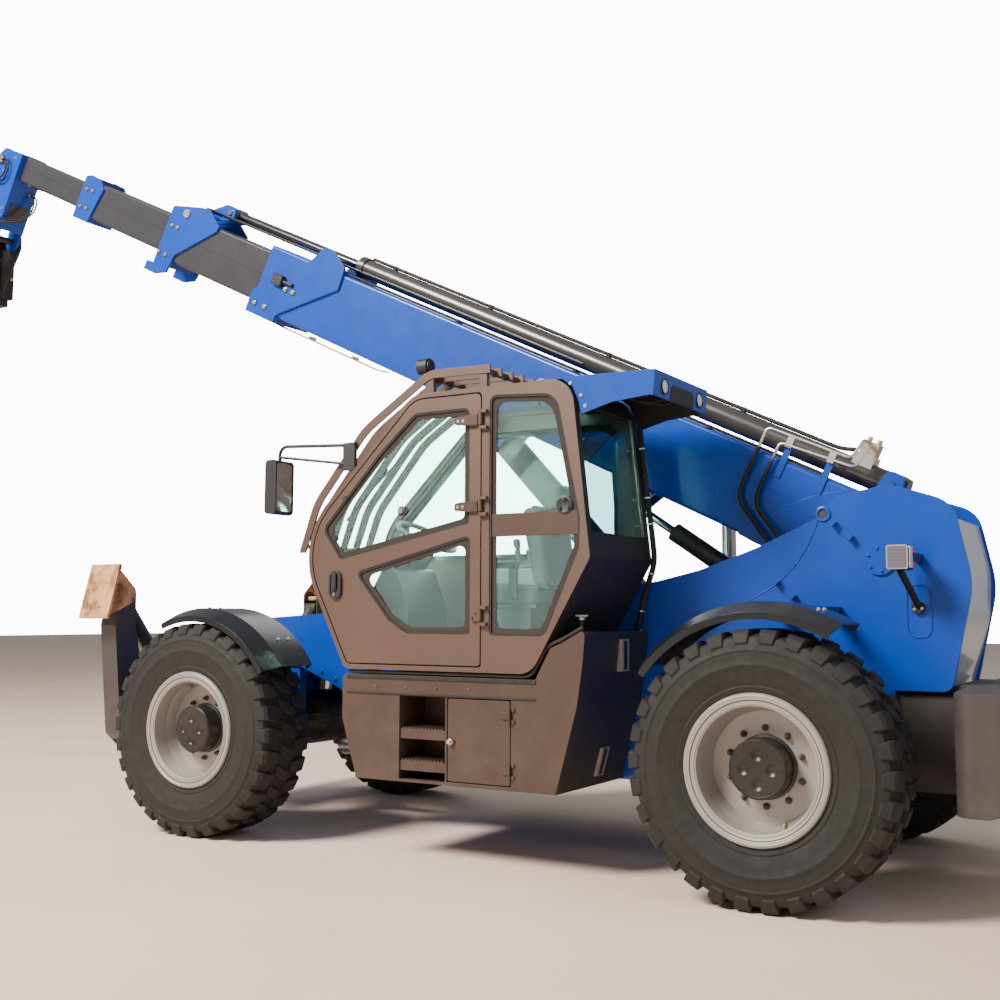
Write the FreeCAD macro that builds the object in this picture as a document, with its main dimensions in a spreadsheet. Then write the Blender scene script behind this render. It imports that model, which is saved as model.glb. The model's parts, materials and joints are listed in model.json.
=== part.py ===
import FreeCAD, Part
import math
import os

import Sketcher

# Telehandler with a four-section boom. Millimetres, +X forward, +Y to the machine's left, +Z up.
# Stations are distances ahead of the rear axle. Every piece is then moved by origin_shift, so that the
# origin lies on the ground under the middle of the whole machine.

os.makedirs("parts", exist_ok=True)
doc = FreeCAD.newDocument("Telehandler")
V = FreeCAD.Vector

# Driving dimensions: name and millimetres or degrees.
DIMENSIONS = (
    # Wheels and axles
    ("wheelbase", 3750), ("wheel_track", 2204), ("tyre_diameter", 1350), ("tyre_width", 445),
    ("rim_seat_radius", 318), ("rim_flange_radius", 368), ("rim_width", 416), ("rim_wall", 15),
    ("disc_plane", 36), ("disc_wall", 20), ("hub_radius", 145), ("hub_reach", 150),
    ("kingpin_side", 880), ("kingpin_radius", 28), ("kingpin_boss_radius", 68), ("kingpin_boss_height", 230),
    ("knuckle_radius", 150), ("knuckle_arm", 34), ("axle_tube_radius", 90), ("axle_bowl_radius", 190),
    ("steer_ram_radius", 38), ("steer_ram_offset", 170),
    # Frame
    ("plate_side", 380), ("plate_wall", 25), ("frame_bottom", 450), ("belly_wall", 20),
    ("frame_nose", 4590), ("tower_rear", -862), ("tower_top", 2118), ("tower_floor", 1022),
    ("rear_arch_half", 262), ("rear_arch_top", 985), ("front_arch_top", 1080),
    ("counterweight_rear", -1400), ("counterweight_front", -830), ("counterweight_half", 1100),
    ("counterweight_top", 1060), ("counterweight_bottom", 500),
    # Boom
    ("pivot_station", -390), ("pivot_height", 1712), ("boom_angle", 25.7), ("pivot_radius", 45),
    ("boom_centre", 38), ("boom_rear", -210), ("boom_front", 5164),
    ("section_1_depth", 494), ("section_1_width", 370), ("section_1_wall", 10),
    ("section_2_depth", 402), ("section_2_width", 300), ("section_2_rear", 1450), ("section_2_front", 6350),
    ("section_3_depth", 317), ("section_3_width", 230), ("section_3_rear", 2650), ("section_3_front", 7545),
    ("section_4_depth", 230), ("section_4_width", 160), ("section_4_rear", 3850), ("section_4_front", 8494),
    ("inner_wall", 9), ("collar_wall", 16),
    ("ram_line", 385), ("ram_radius", 70), ("ram_rear", 110), ("ram_front", 4400), ("ram_lug_at", 181),
    ("ram_bore", 50), ("ram_rod_radius", 36), ("ram_rod_rear", 1480), ("ram_eye_at", 5804),
    ("coupler_pin_at", 8560), ("coupler_pin_drop", 640), ("coupler_pin_radius", 30),
    ("head_rear", 8478), ("head_half", 130), ("head_wall", 24), ("head_lug", 82),
    ("tilt_base_at", 8660), ("tilt_base_above", -42), ("tilt_eye_ahead", 136), ("tilt_eye_up", 134),
    ("tilt_barrel_radius", 46), ("tilt_bore", 34), ("tilt_rod_radius", 25), ("tilt_barrel_length", 374),
    ("tilt_rod_length", 343),
    # Lift and levelling cylinders
    ("lift_base_station", 480), ("lift_base_height", 760), ("lift_eye_at", 2750), ("lift_eye_drop", 300),
    ("lift_barrel_radius", 95), ("lift_bore", 78), ("lift_rod_radius", 50), ("lift_pin_radius", 35),
    ("lift_barrel_length", 1800), ("lift_rod_length", 1740), ("lift_lug_half", 102),
    ("level_base_station", -333), ("level_base_height", 1064), ("level_eye_at", 1651),
    ("level_eye_drop", 337), ("level_barrel_radius", 59), ("level_bore", 48), ("level_rod_radius", 26),
    ("level_pin_radius", 22), ("level_barrel_length", 1546), ("level_rod_length", 1450),
    ("level_lug_half", 66),
    # Fork carriage
    ("fork_face", 200), ("carriage_half", 260), ("carriage_top", 50), ("fork_length", 1200),
    ("fork_width", 120), ("fork_heel", 50), ("fork_gap", 240), ("fork_drop", 560),
    # Cab
    ("cab_side", 1220), ("cab_inner", 420), ("cab_wall", 45), ("cab_floor", 1090), ("cab_roof", 2700),
    ("door_rear", 1600), ("hinge_out", 16), ("hinge_radius", 11), ("panel_gap", 8),
    ("glass_wall", 8), ("glass_inset", 14),
    # Step box on the left, engine on the right
    ("step_side", 1200), ("step_inner", 380.3), ("step_bottom", 455), ("step_top", 1060),
    ("step_front", 2585), ("step_rear", 1140),
    ("pod_rear", 950), ("pod_front", 2750), ("pod_side", 1180), ("pod_inner", 380.3), ("pod_bottom", 500),
    ("pod_top", 1180), ("pod_wall", 25), ("hood_top", 1480), ("hood_nose", 1300),
    # Fenders, guard, mirror, exhaust
    ("fender_radius", 765), ("fender_wall", 8), ("fender_inner", 870), ("fender_outer", 1300),
    ("fender_start", 68), ("fender_end", 148), ("rear_fender_radius", 800), ("rear_fender_start", 36),
    ("rear_fender_end", 120), ("guard_low", 500), ("guard_high", 1150), ("guard_bar", 12), ("guard_depth", 50),
    ("visor_inner", 450), ("visor_outer", 1190), ("mirror_side", 1210), ("exhaust_station", 880),
    ("exhaust_side", -760), ("exhaust_radius", 48), ("exhaust_top", 2050),
    # Stabilisers
    ("leg_station", 4675), ("leg_width", 150), ("leg_wall", 12), ("leg_pivot_side", 900),
    ("leg_pivot_height", 560), ("leg_pivot_radius", 30), ("pad_pin_side", 1045), ("pad_pin_height", 1540),
    ("pad_pin_radius", 20), ("pad_width", 285), ("pad_wall", 20), ("pad_half_rise", 192), ("pad_lean", 15),
    ("leg_ram_top_side", 1010), ("leg_ram_top_height", 1460),
    ("leg_ram_foot_side", 500), ("leg_ram_foot_height", 810), ("leg_ram_radius", 52), ("leg_ram_bore", 42),
    ("leg_ram_length", 780), ("leg_rod_radius", 24), ("leg_rod_length", 740),
    ("running_gap", 0.1), ("seat_gap", 0.3), ("move_gap", 6),
)

sheet = doc.addObject("Spreadsheet::Sheet", "Sizes")
for row, (alias, value) in enumerate(DIMENSIONS, 1):
    sheet.set("A%d" % row, alias)
    sheet.set("B%d" % row, str(value))
    sheet.setAlias("B%d" % row, alias)
doc.recompute()


class Size:
    """A length or angle worked out from sheet cells: its number and the expression that gives it."""

    def __init__(self, number, text=None):
        self.number = float(number)
        self.text = text if text is not None else "%.10g" % number

    def __float__(self):
        return self.number

    def __add__(self, other):
        other = size(other)
        return Size(self.number + other.number, "(%s + %s)" % (self.text, other.text))

    def __radd__(self, other):
        return size(other) + self

    def __sub__(self, other):
        other = size(other)
        return Size(self.number - other.number, "(%s - %s)" % (self.text, other.text))

    def __rsub__(self, other):
        return size(other) - self

    def __mul__(self, other):
        other = size(other)
        return Size(self.number * other.number, "(%s * %s)" % (self.text, other.text))

    def __rmul__(self, other):
        return size(other) * self

    def __truediv__(self, other):
        other = size(other)
        return Size(self.number / other.number, "(%s / %s)" % (self.text, other.text))

    def __neg__(self):
        return Size(-self.number, "(-1 * %s)" % self.text)


def size(value):
    return value if isinstance(value, Size) else Size(value)


def cosine(angle):
    return Size(math.cos(math.radians(float(angle))), "cos(%s)" % angle.text)


def sine(angle):
    return Size(math.sin(math.radians(float(angle))), "sin(%s)" % angle.text)


class Dimensions:
    """Driving dimensions by name, each bound to its cell."""

    def __getattr__(self, alias):
        return Size(sheet.get(alias), "Sizes.%s" % alias)


d = Dimensions()


def bind(owner, path, value):
    """Bind one property to the sheet; a plain number is only set."""
    value = size(value)
    if "Sizes." in value.text:
        owner.setExpression(path, value.text)


def place(piece, x=0, y=0, z=0, axis=None, angle=0):
    """Put a piece at a point, turned about an axis."""
    turn = FreeCAD.Rotation(axis, float(angle)) if axis is not None else FreeCAD.Rotation()
    piece.Placement = FreeCAD.Placement(V(float(x), float(y), float(z)), turn)
    bind(piece, ".Placement.Base.x", x)
    bind(piece, ".Placement.Base.y", y)
    bind(piece, ".Placement.Base.z", z)
    if axis is not None:
        bind(piece, ".Placement.Rotation.Angle", angle)
    return piece


sub_parts = []


def sub_part(piece, label):
    """Name a finished sub-part, which names its node."""
    piece.Label = label
    sub_parts.append(piece)
    return piece


def arc_between(start, corner, end, radius):
    """Tangent points, centre and angles of a rounded corner."""
    back = (start - corner).normalize()
    ahead = (end - corner).normalize()
    half = back.getAngle(ahead) / 2
    reach = radius / math.tan(half)
    centre = corner + (back + ahead).normalize() * (radius / math.sin(half))
    return corner + back * reach, corner + ahead * reach, centre


class Body:
    """A PartDesign body whose sketches take outlines of (x, y) or (x, y, corner radius)."""

    PLANES = {"XY": "XY_Plane", "XZ": "XZ_Plane", "YZ": "YZ_Plane"}

    def __init__(self, name):
        self.body = doc.addObject("PartDesign::Body", name)

    def sketch(self, plane, at=0):
        made = self.body.newObject("Sketcher::SketchObject", self.body.Name + "_sketch")
        role = self.PLANES[plane]
        made.AttachmentSupport = [(next(f for f in self.body.Origin.OriginFeatures if f.Role == role), "")]
        made.MapMode = "FlatFace"
        offset = -size(at) if plane == "XZ" else size(at)
        made.AttachmentOffset = FreeCAD.Placement(V(0, 0, float(offset)), FreeCAD.Rotation())
        bind(made, ".AttachmentOffset.Base.z", offset)
        return made

    def outline(self, sketch, corners):
        """A closed outline of straight sides, with an arc where a corner has a radius."""
        places = [V(float(c[0]), float(c[1]), 0) for c in corners]
        count = len(corners)
        starts, ends, arcs = {}, {}, {}
        for index, corner in enumerate(corners):
            starts[index] = ends[index] = places[index]
            if len(corner) > 2:
                before, after = places[index - 1], places[(index + 1) % count]
                near, far, centre = arc_between(before, places[index], after, float(corner[2]))
                ends[index], starts[index] = near, far
                arcs[index] = centre
        lines = []
        for index in range(count):
            after = (index + 1) % count
            lines.append(sketch.addGeometry(Part.LineSegment(starts[index], ends[after]), False))
        for index, corner in enumerate(corners):
            came, goes = lines[index - 1], lines[index]
            if index in arcs:
                self.round_corner(sketch, corner, places[index], arcs[index], ends[index],
                                  starts[index], came, goes)
            else:
                sketch.addConstraint(Sketcher.Constraint("Coincident", came, 2, goes, 1))
                self.fix_point(sketch, goes, 1, corner)

    def round_corner(self, sketch, corner, tip, centre, near, far, came, goes):
        radius = float(corner[2])
        middle = centre + (tip - centre).normalize() * radius
        arc = sketch.addGeometry(Part.Arc(near, middle, far), False)
        anticlockwise = (near - centre).cross(far - centre).z > 0
        first, last = (1, 2) if anticlockwise else (2, 1)
        sketch.addConstraint(Sketcher.Constraint("Tangent", came, 2, arc, first))
        sketch.addConstraint(Sketcher.Constraint("Tangent", arc, last, goes, 1))
        index = sketch.addConstraint(Sketcher.Constraint("Radius", arc, radius))
        bind(sketch, "Constraints[%d]" % index, corner[2])
        point = sketch.addGeometry(Part.Point(tip), True)
        sketch.addConstraint(Sketcher.Constraint("PointOnObject", point, 1, came))
        sketch.addConstraint(Sketcher.Constraint("PointOnObject", point, 1, goes))
        self.fix_point(sketch, point, 1, corner)

    def fix_point(self, sketch, item, end, corner):
        for kind, value in (("DistanceX", corner[0]), ("DistanceY", corner[1])):
            index = sketch.addConstraint(Sketcher.Constraint(kind, item, end, float(value)))
            bind(sketch, "Constraints[%d]" % index, value)

    def circle(self, sketch, x, y, radius):
        item = sketch.addGeometry(Part.Circle(V(float(x), float(y), 0), V(0, 0, 1), float(radius)), False)
        index = sketch.addConstraint(Sketcher.Constraint("Radius", item, float(radius)))
        bind(sketch, "Constraints[%d]" % index, radius)
        self.fix_point(sketch, item, 3, (x, y))

    def drawn(self, plane, at, outlines, circles):
        sketch = self.sketch(plane, at)
        for corners in outlines:
            self.outline(sketch, corners)
        for x, y, radius in circles:
            self.circle(sketch, x, y, radius)
        return sketch

    def feature(self, kind, sketch, length):
        made = self.body.newObject(kind, self.body.Name + "_feature")
        made.Profile = sketch
        made.SideType = "Symmetric"
        made.Length = float(length)
        bind(made, "Length", length)
        return made

    def pad(self, plane, at, length, *outlines, circles=()):
        """Material of the given length, centred on the plane at a distance from the origin plane."""
        self.feature("PartDesign::Pad", self.drawn(plane, at, outlines, circles), length)
        return self

    def cut(self, plane, at, length, *outlines, circles=()):
        """The same, taken away."""
        self.feature("PartDesign::Pocket", self.drawn(plane, at, outlines, circles), length)
        return self

    def turn(self, plane, outline, axis="H_Axis"):
        """A full revolution about the sketch's own axis."""
        sketch = self.drawn(plane, 0, [outline], ())
        made = self.body.newObject("PartDesign::Revolution", self.body.Name + "_turned")
        made.Profile = sketch
        made.ReferenceAxis = (sketch, [axis])
        made.Angle = 360
        return self


def box_outline(x_low, x_high, y_low, y_high, radius=None):
    corners = ((x_low, y_low), (x_high, y_low), (x_high, y_high), (x_low, y_high))
    return [c if radius is None else c + (radius,) for c in corners]


def mirrored(piece, name):
    """The same piece on the machine's other side."""
    made = doc.addObject("Part::Mirroring", name)
    made.Source = piece
    made.Normal = V(0, 1, 0)
    made.Base = V(0, 0, 0)
    return made


def gathered(name, pieces):
    """Separate solids that make one node."""
    made = doc.addObject("Part::Compound", name)
    made.Links = pieces
    return made


# Derived places
axle_height = d.tyre_diameter / 2
pin_cos, pin_sin = cosine(d.boom_angle), sine(d.boom_angle)


def boom_station(along, above):
    return d.pivot_station + pin_cos * along - pin_sin * above


def boom_height(along, above):
    return d.pivot_height + pin_sin * along + pin_cos * above


coupler_station = boom_station(d.coupler_pin_at, -d.coupler_pin_drop)
coupler_height = boom_height(d.coupler_pin_at, -d.coupler_pin_drop)
fork_tip = coupler_station + d.fork_face + d.fork_heel + d.fork_length
origin_shift = -(fork_tip + d.counterweight_rear) / 2


def at_home(piece, label):
    """A piece drawn in stations goes to the machine's frame."""
    return sub_part(place(piece, origin_shift), label)


def on_boom(piece, label):
    """A piece drawn along the boom from its pivot."""
    place(piece, origin_shift + d.pivot_station, 0, d.pivot_height, V(0, 1, 0), -d.boom_angle)
    return sub_part(piece, label)


def make_tyre(name):
    half = d.tyre_width / 2
    tip = d.tyre_diameter / 2
    seat = d.rim_seat_radius
    outline = [
        (-half + 42, seat), (half - 42, seat), (half - 30, seat + 40, 12), (half, seat + 150, 110),
        (half - 6, tip - 55, 40), (half - 30, tip, 14), (-half + 30, tip, 14), (-half + 6, tip - 55, 40),
        (-half, seat + 150, 110), (-half + 30, seat + 40, 12)]
    return Body(name).turn("YZ", outline).body


def make_wheel(name):
    half = d.rim_width / 2
    seat = d.rim_seat_radius - d.seat_gap
    inner = seat - d.rim_wall
    flange = d.rim_flange_radius
    face, back = d.disc_plane, d.disc_plane - d.disc_wall
    outline = [
        (-half + 25, seat), (half - 25, seat), (half - 18, flange - 26), (half - 12, flange),
        (half, flange - 6), (half, flange - 26), (half - 12, inner), (face + 60, inner), (face, inner - 30),
        (face, d.hub_radius), (d.hub_reach - 8, d.hub_radius), (d.hub_reach, d.hub_radius - 8),
        (d.hub_reach, 0), (back - 46, 0), (back - 46, d.hub_radius - 20), (back, d.hub_radius - 20),
        (back, inner), (-half + 12, inner), (-half, flange - 26), (-half, flange - 6), (-half + 12, flange),
        (-half + 18, flange - 26)]
    return Body(name).turn("YZ", outline).body


def make_knuckle(name):
    """Drawn for the left, about its kingpin."""
    reach = d.wheel_track / 2 - d.kingpin_side + d.disc_plane - d.disc_wall - 46 - d.seat_gap
    boss_half = d.kingpin_boss_height / 2
    start = d.kingpin_boss_radius + 12
    arm_low = boss_half + 1
    made = Body(name)
    outline = [(start, 0), (reach, 0), (reach, d.hub_radius - 30), (reach - 40, d.knuckle_radius),
               (start, d.knuckle_radius)]
    made.turn("YZ", outline)
    arm = [(-62, -62, 50), (62, -62, 50), (95, start + 20), (-95, start + 20)]
    for side in (1, -1):
        made.pad("XY", side * (arm_low + d.knuckle_arm / 2), d.knuckle_arm, arm)
        made.pad("XY", side * (boss_half - 20), 44, circles=[(0, 0, d.kingpin_radius)])
    return made.body


def make_axle(name):
    made = Body(name)
    side = d.kingpin_side
    boss_half = d.kingpin_boss_height / 2
    tube = d.axle_tube_radius
    bowl = d.axle_bowl_radius
    outline = [(-side, 0), (side, 0), (side, tube - 20), (side - 120, tube), (bowl + 90, tube),
               (120, bowl, 60), (-120, bowl, 60), (-bowl - 90, tube), (-side + 120, tube), (-side, tube - 20)]
    made.turn("YZ", outline)
    made.pad("XY", 0, d.kingpin_boss_height,
             circles=[(0, y, d.kingpin_boss_radius) for y in (side, -side)])
    bore = d.kingpin_radius + d.running_gap
    for z in (boss_half - 25, -boss_half + 25):
        made.cut("XY", z, 52, circles=[(0, y, bore) for y in (side, -side)])
    made.pad("XZ", 0, 2 * (side - 260), circles=[(-d.steer_ram_offset, 0, d.steer_ram_radius)])
    bracket = box_outline(-d.steer_ram_offset, 0, -30, 30)
    for y in (-300, 300):
        made.pad("XZ", y, 40, bracket)
    return made.body


def corner_wheels():
    """The four corners: knuckle, wheel and tyre, the right side as the left one turned half round."""
    for axle, station in (("front", d.wheelbase), ("rear", size(0))):
        for side, sign in (("left", 1), ("right", -1)):
            turn = 0 if sign > 0 else 180
            name = "%s_%s" % (axle, side)
            knuckle = make_knuckle("knuckle_" + name)
            place(knuckle, origin_shift + station, sign * d.kingpin_side, axle_height, V(0, 0, 1), turn)
            sub_part(knuckle, "knuckle_" + name)
            for kind, maker in (("wheel", make_wheel), ("tyre", make_tyre)):
                piece = maker("%s_%s" % (kind, name))
                place(piece, origin_shift + station, sign * d.wheel_track / 2, axle_height, V(0, 0, 1), turn)
                sub_part(piece, "%s_%s" % (kind, name))


def axles():
    pair = []
    for name, station in (("front_axle", d.wheelbase), ("rear_axle", size(0))):
        pair.append(place(make_axle(name), station, 0, axle_height))
    return at_home(gathered("axle_pair", pair), "axles")


def frame_plates():
    """Both side plates: the tower at the rear, the arches and the nose."""
    base = d.frame_bottom
    arch = d.rear_arch_half
    front = d.wheelbase
    outline = [
        (d.tower_rear + 125, d.tower_floor, 60), (d.tower_rear + 4, 1580, 500), (d.tower_rear + 95, 2010, 170),
        (d.pivot_station - 60, d.tower_top, 260), (d.pivot_station + 240, 2062, 60), (-50, 1945, 60),
        (300, 1790, 900), (640, 1672, 500), (900, 1612), (1500, 1530), (3300, 1424), (3900, 1385),
        (d.frame_nose, 1010), (d.frame_nose, base), (front + 330, base), (front + 300, 960, 120),
        (front - 60, d.front_arch_top, 300), (front - 520, 897, 200), (front - 780, base),
        (arch + 90, base), (arch, 800, 60), (arch - 60, d.rear_arch_top, 60),
        (-arch + 60, d.rear_arch_top, 60), (-arch, 800, 60), (-arch, 560), (-450, 560), (-450, d.tower_floor)]
    bore = d.pivot_radius + d.running_gap
    left = Body("frame_plate")
    left.pad("XZ", d.plate_side - d.plate_wall / 2, d.plate_wall, outline,
             circles=[(d.pivot_station, d.pivot_height, bore)])
    return at_home(gathered("frame_plates", [left.body, mirrored(left.body, "frame_plate_right")]),
                   "frame_plates")


def frame_centre():
    """What joins the plates: belly, bulkheads, decks, axle seats and cylinder lugs."""
    inner = d.plate_side - d.plate_wall
    base, wall = d.frame_bottom, d.belly_wall
    width = 2 * inner
    arch = d.rear_arch_half
    nose = d.frame_nose
    rear, front = arch + 95, d.wheelbase - 780
    front_arch = d.wheelbase + 330
    deck = d.front_arch_top + 5
    rear_deck = d.rear_arch_top + 5
    seat_reach = axle_height + d.axle_tube_radius
    floor = [
        (rear, base), (front, base), (d.wheelbase - 535, 905), (d.wheelbase - 440, deck),
        (front_arch, deck), (front_arch, base), (nose, base), (nose, 1005), (nose - 190, deck + wall),
        (d.wheelbase - 455, deck + wall), (d.wheelbase - 555, 915), (front - 12, base + wall),
        (rear + wall, base + wall), (rear + wall, rear_deck + wall), (-450, rear_deck + wall), (-450, 565),
        (-450 + wall, 565), (-450 + wall, rear_deck), (rear, rear_deck)]
    made = Body("frame_middle")
    made.pad("XZ", 0, width, floor)
    for station, top in ((size(0), rear_deck + 5), (d.wheelbase, deck + 5)):
        for side in (1, -1):
            made.pad("XZ", side * 315, 70, box_outline(station - 110, station + 110, seat_reach - 40, top))
            made.cut("XZ", side * 315, 72, circles=[(station, axle_height, d.axle_tube_radius + d.seat_gap)])
    lugs = (
        (d.lift_base_station, d.lift_base_height, d.lift_lug_half, d.lift_pin_radius, 75, base + wall),
        (d.level_base_station, d.level_base_height, d.level_lug_half, d.level_pin_radius, 50, rear_deck + wall))
    for x, z, half, pin, round_over, foot in lugs:
        ear = [(x - 90, foot - 5), (x + 90, foot - 5), (x + round_over, z + round_over, round_over - 2),
               (x - round_over, z + round_over, round_over - 2)]
        for side in (1, -1):
            made.pad("XZ", side * (half + 12), 24, ear)
            made.pad("XZ", side * (half + 30), 16, circles=[(x, z, pin + 14)])
    made.pad("XZ", 0, 2 * d.level_lug_half + 10,
             circles=[(d.level_base_station, d.level_base_height, d.level_pin_radius)])
    reach = d.plate_side + 14
    pin = Body("boom_pivot_pin")
    pin.pad("XZ", 0, 2 * reach, circles=[(d.pivot_station, d.pivot_height, d.pivot_radius)])
    for side in (1, -1):
        pin.pad("XZ", side * (d.plate_side + 7 + d.seat_gap), 14,
                circles=[(d.pivot_station, d.pivot_height, 82)])
    return at_home(gathered("frame_centre_and_pin", [made.body, pin.body]), "frame_centre")


def rear_cover():
    """The panel that closes the tower between its plates."""
    width = 2 * (d.plate_side - d.plate_wall)
    rear = d.tower_rear
    outline = [
        (rear + 142, 1045), (rear + 45, 1400, 500), (rear + 34, 1650, 500), (rear + 92, 1925),
        (rear + 107, 1920), (rear + 49, 1650, 500), (rear + 60, 1400, 500), (rear + 157, 1045)]
    made = Body("rear_cover")
    made.pad("XZ", 0, width, outline)
    return at_home(made.body, "rear_cover")


def counterweight():
    half, neck = d.counterweight_half, d.plate_side - d.plate_wall - 10
    front, rear = d.counterweight_front, d.counterweight_rear
    top, bottom = d.counterweight_top, d.counterweight_bottom
    plan = [
        (-450 - d.seat_gap, -neck), (-450 - d.seat_gap, neck), (front, neck), (front - 40, half, 90),
        (rear + 170, half, 230),
        (rear, 500, 300), (rear, -500, 300), (rear + 170, -half, 230), (front - 40, -half, 90), (front, -neck)]
    made = Body("counterweight")
    made.pad("XY", (top + bottom) / 2, top - bottom, plan)
    made.cut("XZ", 0, 2 * half + 10, [(front - 150, bottom - 10), (rear - 10, bottom + 110),
                                      (rear - 10, bottom - 10)])
    made.cut("XZ", 0, 2 * neck + 10, [(-440, 1000), (front + 75, 1000), (front + 75, top + 10),
                                      (-440, top + 10)])
    return at_home(made.body, "counterweight")


def ram_barrel(name, radius, bore, length, rod, pin, eye, eye_half):
    """A cylinder's barrel along +X from its base pin, open at the rod's end."""
    cap = eye - 8
    made = Body(name)
    made.turn("XZ", [
        (cap, 0), (cap, radius), (length, radius), (length, rod + 1), (length - 50, rod + 1),
        (length - 50, bore), (cap + 45, bore), (cap + 45, 0)])
    made.pad("XZ", 0, 2 * eye_half, circles=[(0, 0, eye)])
    made.cut("XZ", 0, 2 * eye_half + 2, circles=[(0, 0, pin + d.running_gap)])
    return made.body


def ram_rod(name, radius, start, end, pin, eye, eye_half, pin_half):
    """A cylinder's rod along +X, with its eye and short pin at the far end."""
    made = Body(name)
    made.turn("XZ", [(start, 0), (start, radius), (end - eye + 6, radius), (end - eye + 6, 0)])
    made.pad("XZ", 0, 2 * eye_half, circles=[(end, 0, eye)])
    made.pad("XZ", 0, 2 * pin_half, circles=[(end, 0, pin)])
    return made.body


def between(x_from, z_from, x_to, z_to):
    """Length and upward angle of a cylinder between two points of the side view."""
    run, rise = float(x_to) - float(x_from), float(z_to) - float(z_from)
    return math.hypot(run, rise), math.degrees(math.atan2(rise, run))


def lift_cylinder():
    """The lift cylinder stands barrel up: barrel pinned to the boom, rod pinned to the frame."""
    base_x, base_z = d.lift_base_station, d.lift_base_height
    eye_x, eye_z = boom_station(d.lift_eye_at, -d.lift_eye_drop), boom_height(d.lift_eye_at, -d.lift_eye_drop)
    length, rise = between(base_x, base_z, eye_x, eye_z)
    half, eye = d.lift_lug_half, size(72)
    barrel = ram_barrel("lift_barrel", d.lift_barrel_radius, d.lift_bore, d.lift_barrel_length,
                        d.lift_rod_radius,
                        d.lift_pin_radius, eye, half - d.move_gap)
    rod = ram_rod("lift_rod", d.lift_rod_radius, size(length) - d.lift_rod_length, size(length),
                  d.lift_pin_radius, eye, half - d.move_gap, half - d.seat_gap)
    for piece, label in ((barrel, "lift_cylinder_barrel"), (rod, "lift_cylinder_rod")):
        place(piece, origin_shift + eye_x, 0, eye_z, V(0, 1, 0), 180 - rise)
        sub_part(piece, label)


def level_cylinder():
    """The levelling cylinder behind it, barrel pinned to the frame."""
    base_x, base_z = d.level_base_station, d.level_base_height
    length, rise = between(base_x, base_z, boom_station(d.level_eye_at, -d.level_eye_drop),
                           boom_height(d.level_eye_at, -d.level_eye_drop))
    half, eye = d.level_lug_half, size(46)
    barrel = ram_barrel("level_barrel", d.level_barrel_radius, d.level_bore, d.level_barrel_length,
                        d.level_rod_radius, d.level_pin_radius, eye, half - d.move_gap)
    rod = ram_rod("level_rod", d.level_rod_radius, size(length) - d.level_rod_length, size(length),
                  d.level_pin_radius, eye, half - d.move_gap, half - d.seat_gap)
    for piece, label in ((barrel, "level_cylinder_barrel"), (rod, "level_cylinder_rod")):
        place(piece, origin_shift + base_x, 0, base_z, V(0, 1, 0), -rise)
        sub_part(piece, label)


def section_tube(made, depth, width, wall, rear, front, next_depth=None, next_width=None):
    """A box section of the boom, with the wear pads that guide the next one in its mouth."""
    middle, length = (front + rear) / 2, front - rear
    low, high = d.boom_centre - depth / 2, d.boom_centre + depth / 2
    made.pad("YZ", middle, length, box_outline(-width / 2, width / 2, low, high, 22),
             box_outline(-width / 2 + wall, width / 2 - wall, low + wall, high - wall, 14))
    if next_depth is not None:
        pad_low = d.boom_centre - next_depth / 2 - 0.5
        pad_high = d.boom_centre + next_depth / 2 + 0.5
        made.pad("YZ", front - 60, 100, box_outline(-width / 2 + wall - 2, width / 2 - wall + 2,
                                                    low + wall - 2, high - wall + 2, 12),
                 box_outline(-next_width / 2 - 0.5, next_width / 2 + 0.5, pad_low, pad_high, 18))


def collar_sides(made, width, outline, wall):
    for side in (1, -1):
        made.pad("XZ", side * (width + wall) / 2, wall + 4, outline)


def boom_section_1():
    width, depth = d.section_1_width, d.section_1_depth
    front = d.boom_front
    low, high = d.boom_centre - depth / 2, d.boom_centre + depth / 2
    made = Body("boom_section_1")
    section_tube(made, depth, width, d.section_1_wall, d.boom_rear, front - 20,
                 d.section_2_depth, d.section_2_width)
    collar = [(front + 6, low - 45), (front + 6, -83), (front - 390, 190), (front - 530, 412, 20),
              (front - 623, 417, 30), (front - 782, 328, 30), (front - 792, 165), (front - 302, -192, 40),
              (front - 302, low - 45)]
    collar_sides(made, width, collar, d.collar_wall)
    made.pad("XZ", 0, width + 10, box_outline(front - 302, front + 6, low - 45, low + 4))
    bar = d.ram_line
    made.pad("XZ", 0, width + 10, box_outline(front - 760, front - 640, high - 4, bar - d.ram_radius - 2))
    boss = 2 * (d.plate_side - d.plate_wall - d.move_gap)
    made.pad("XZ", 0, boss, circles=[(0, 0, 95)])
    made.cut("XZ", 0, boss + 10, circles=[(0, 0, d.pivot_radius + d.running_gap)])
    lug = [(d.ram_lug_at - 90, high - 6), (d.ram_lug_at + 90, high - 6), (d.ram_lug_at + 50, bar + 75, 48),
           (d.ram_lug_at - 50, bar + 75, 48)]
    for side in (1, -1):
        made.pad("XZ", side * (d.ram_radius + 20), 28, lug)
    made.pad("XZ", 0, 2 * d.ram_radius + 90, circles=[(d.ram_lug_at, bar, 22)])
    eyes = ((d.lift_eye_at, d.lift_eye_drop, d.lift_lug_half, d.lift_pin_radius, 95),
            (d.level_eye_at, d.level_eye_drop, d.level_lug_half, d.level_pin_radius, 62))
    for x, drop, half, pin, round_over in eyes:
        ear = [(x - 170, low + 4), (x - round_over, -drop - round_over, round_over - 4),
               (x + round_over, -drop - round_over, round_over - 4), (x + 170, low + 4)]
        for side in (1, -1):
            made.pad("XZ", side * (half + 12), 24, ear)
            made.pad("XZ", side * (half + 30), 16, circles=[(x, -drop, pin + 14)])
    made.pad("XZ", 0, 2 * d.lift_lug_half + 10, circles=[(d.lift_eye_at, -d.lift_eye_drop, d.lift_pin_radius)])
    return on_boom(made.body, "boom_section_1")


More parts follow.
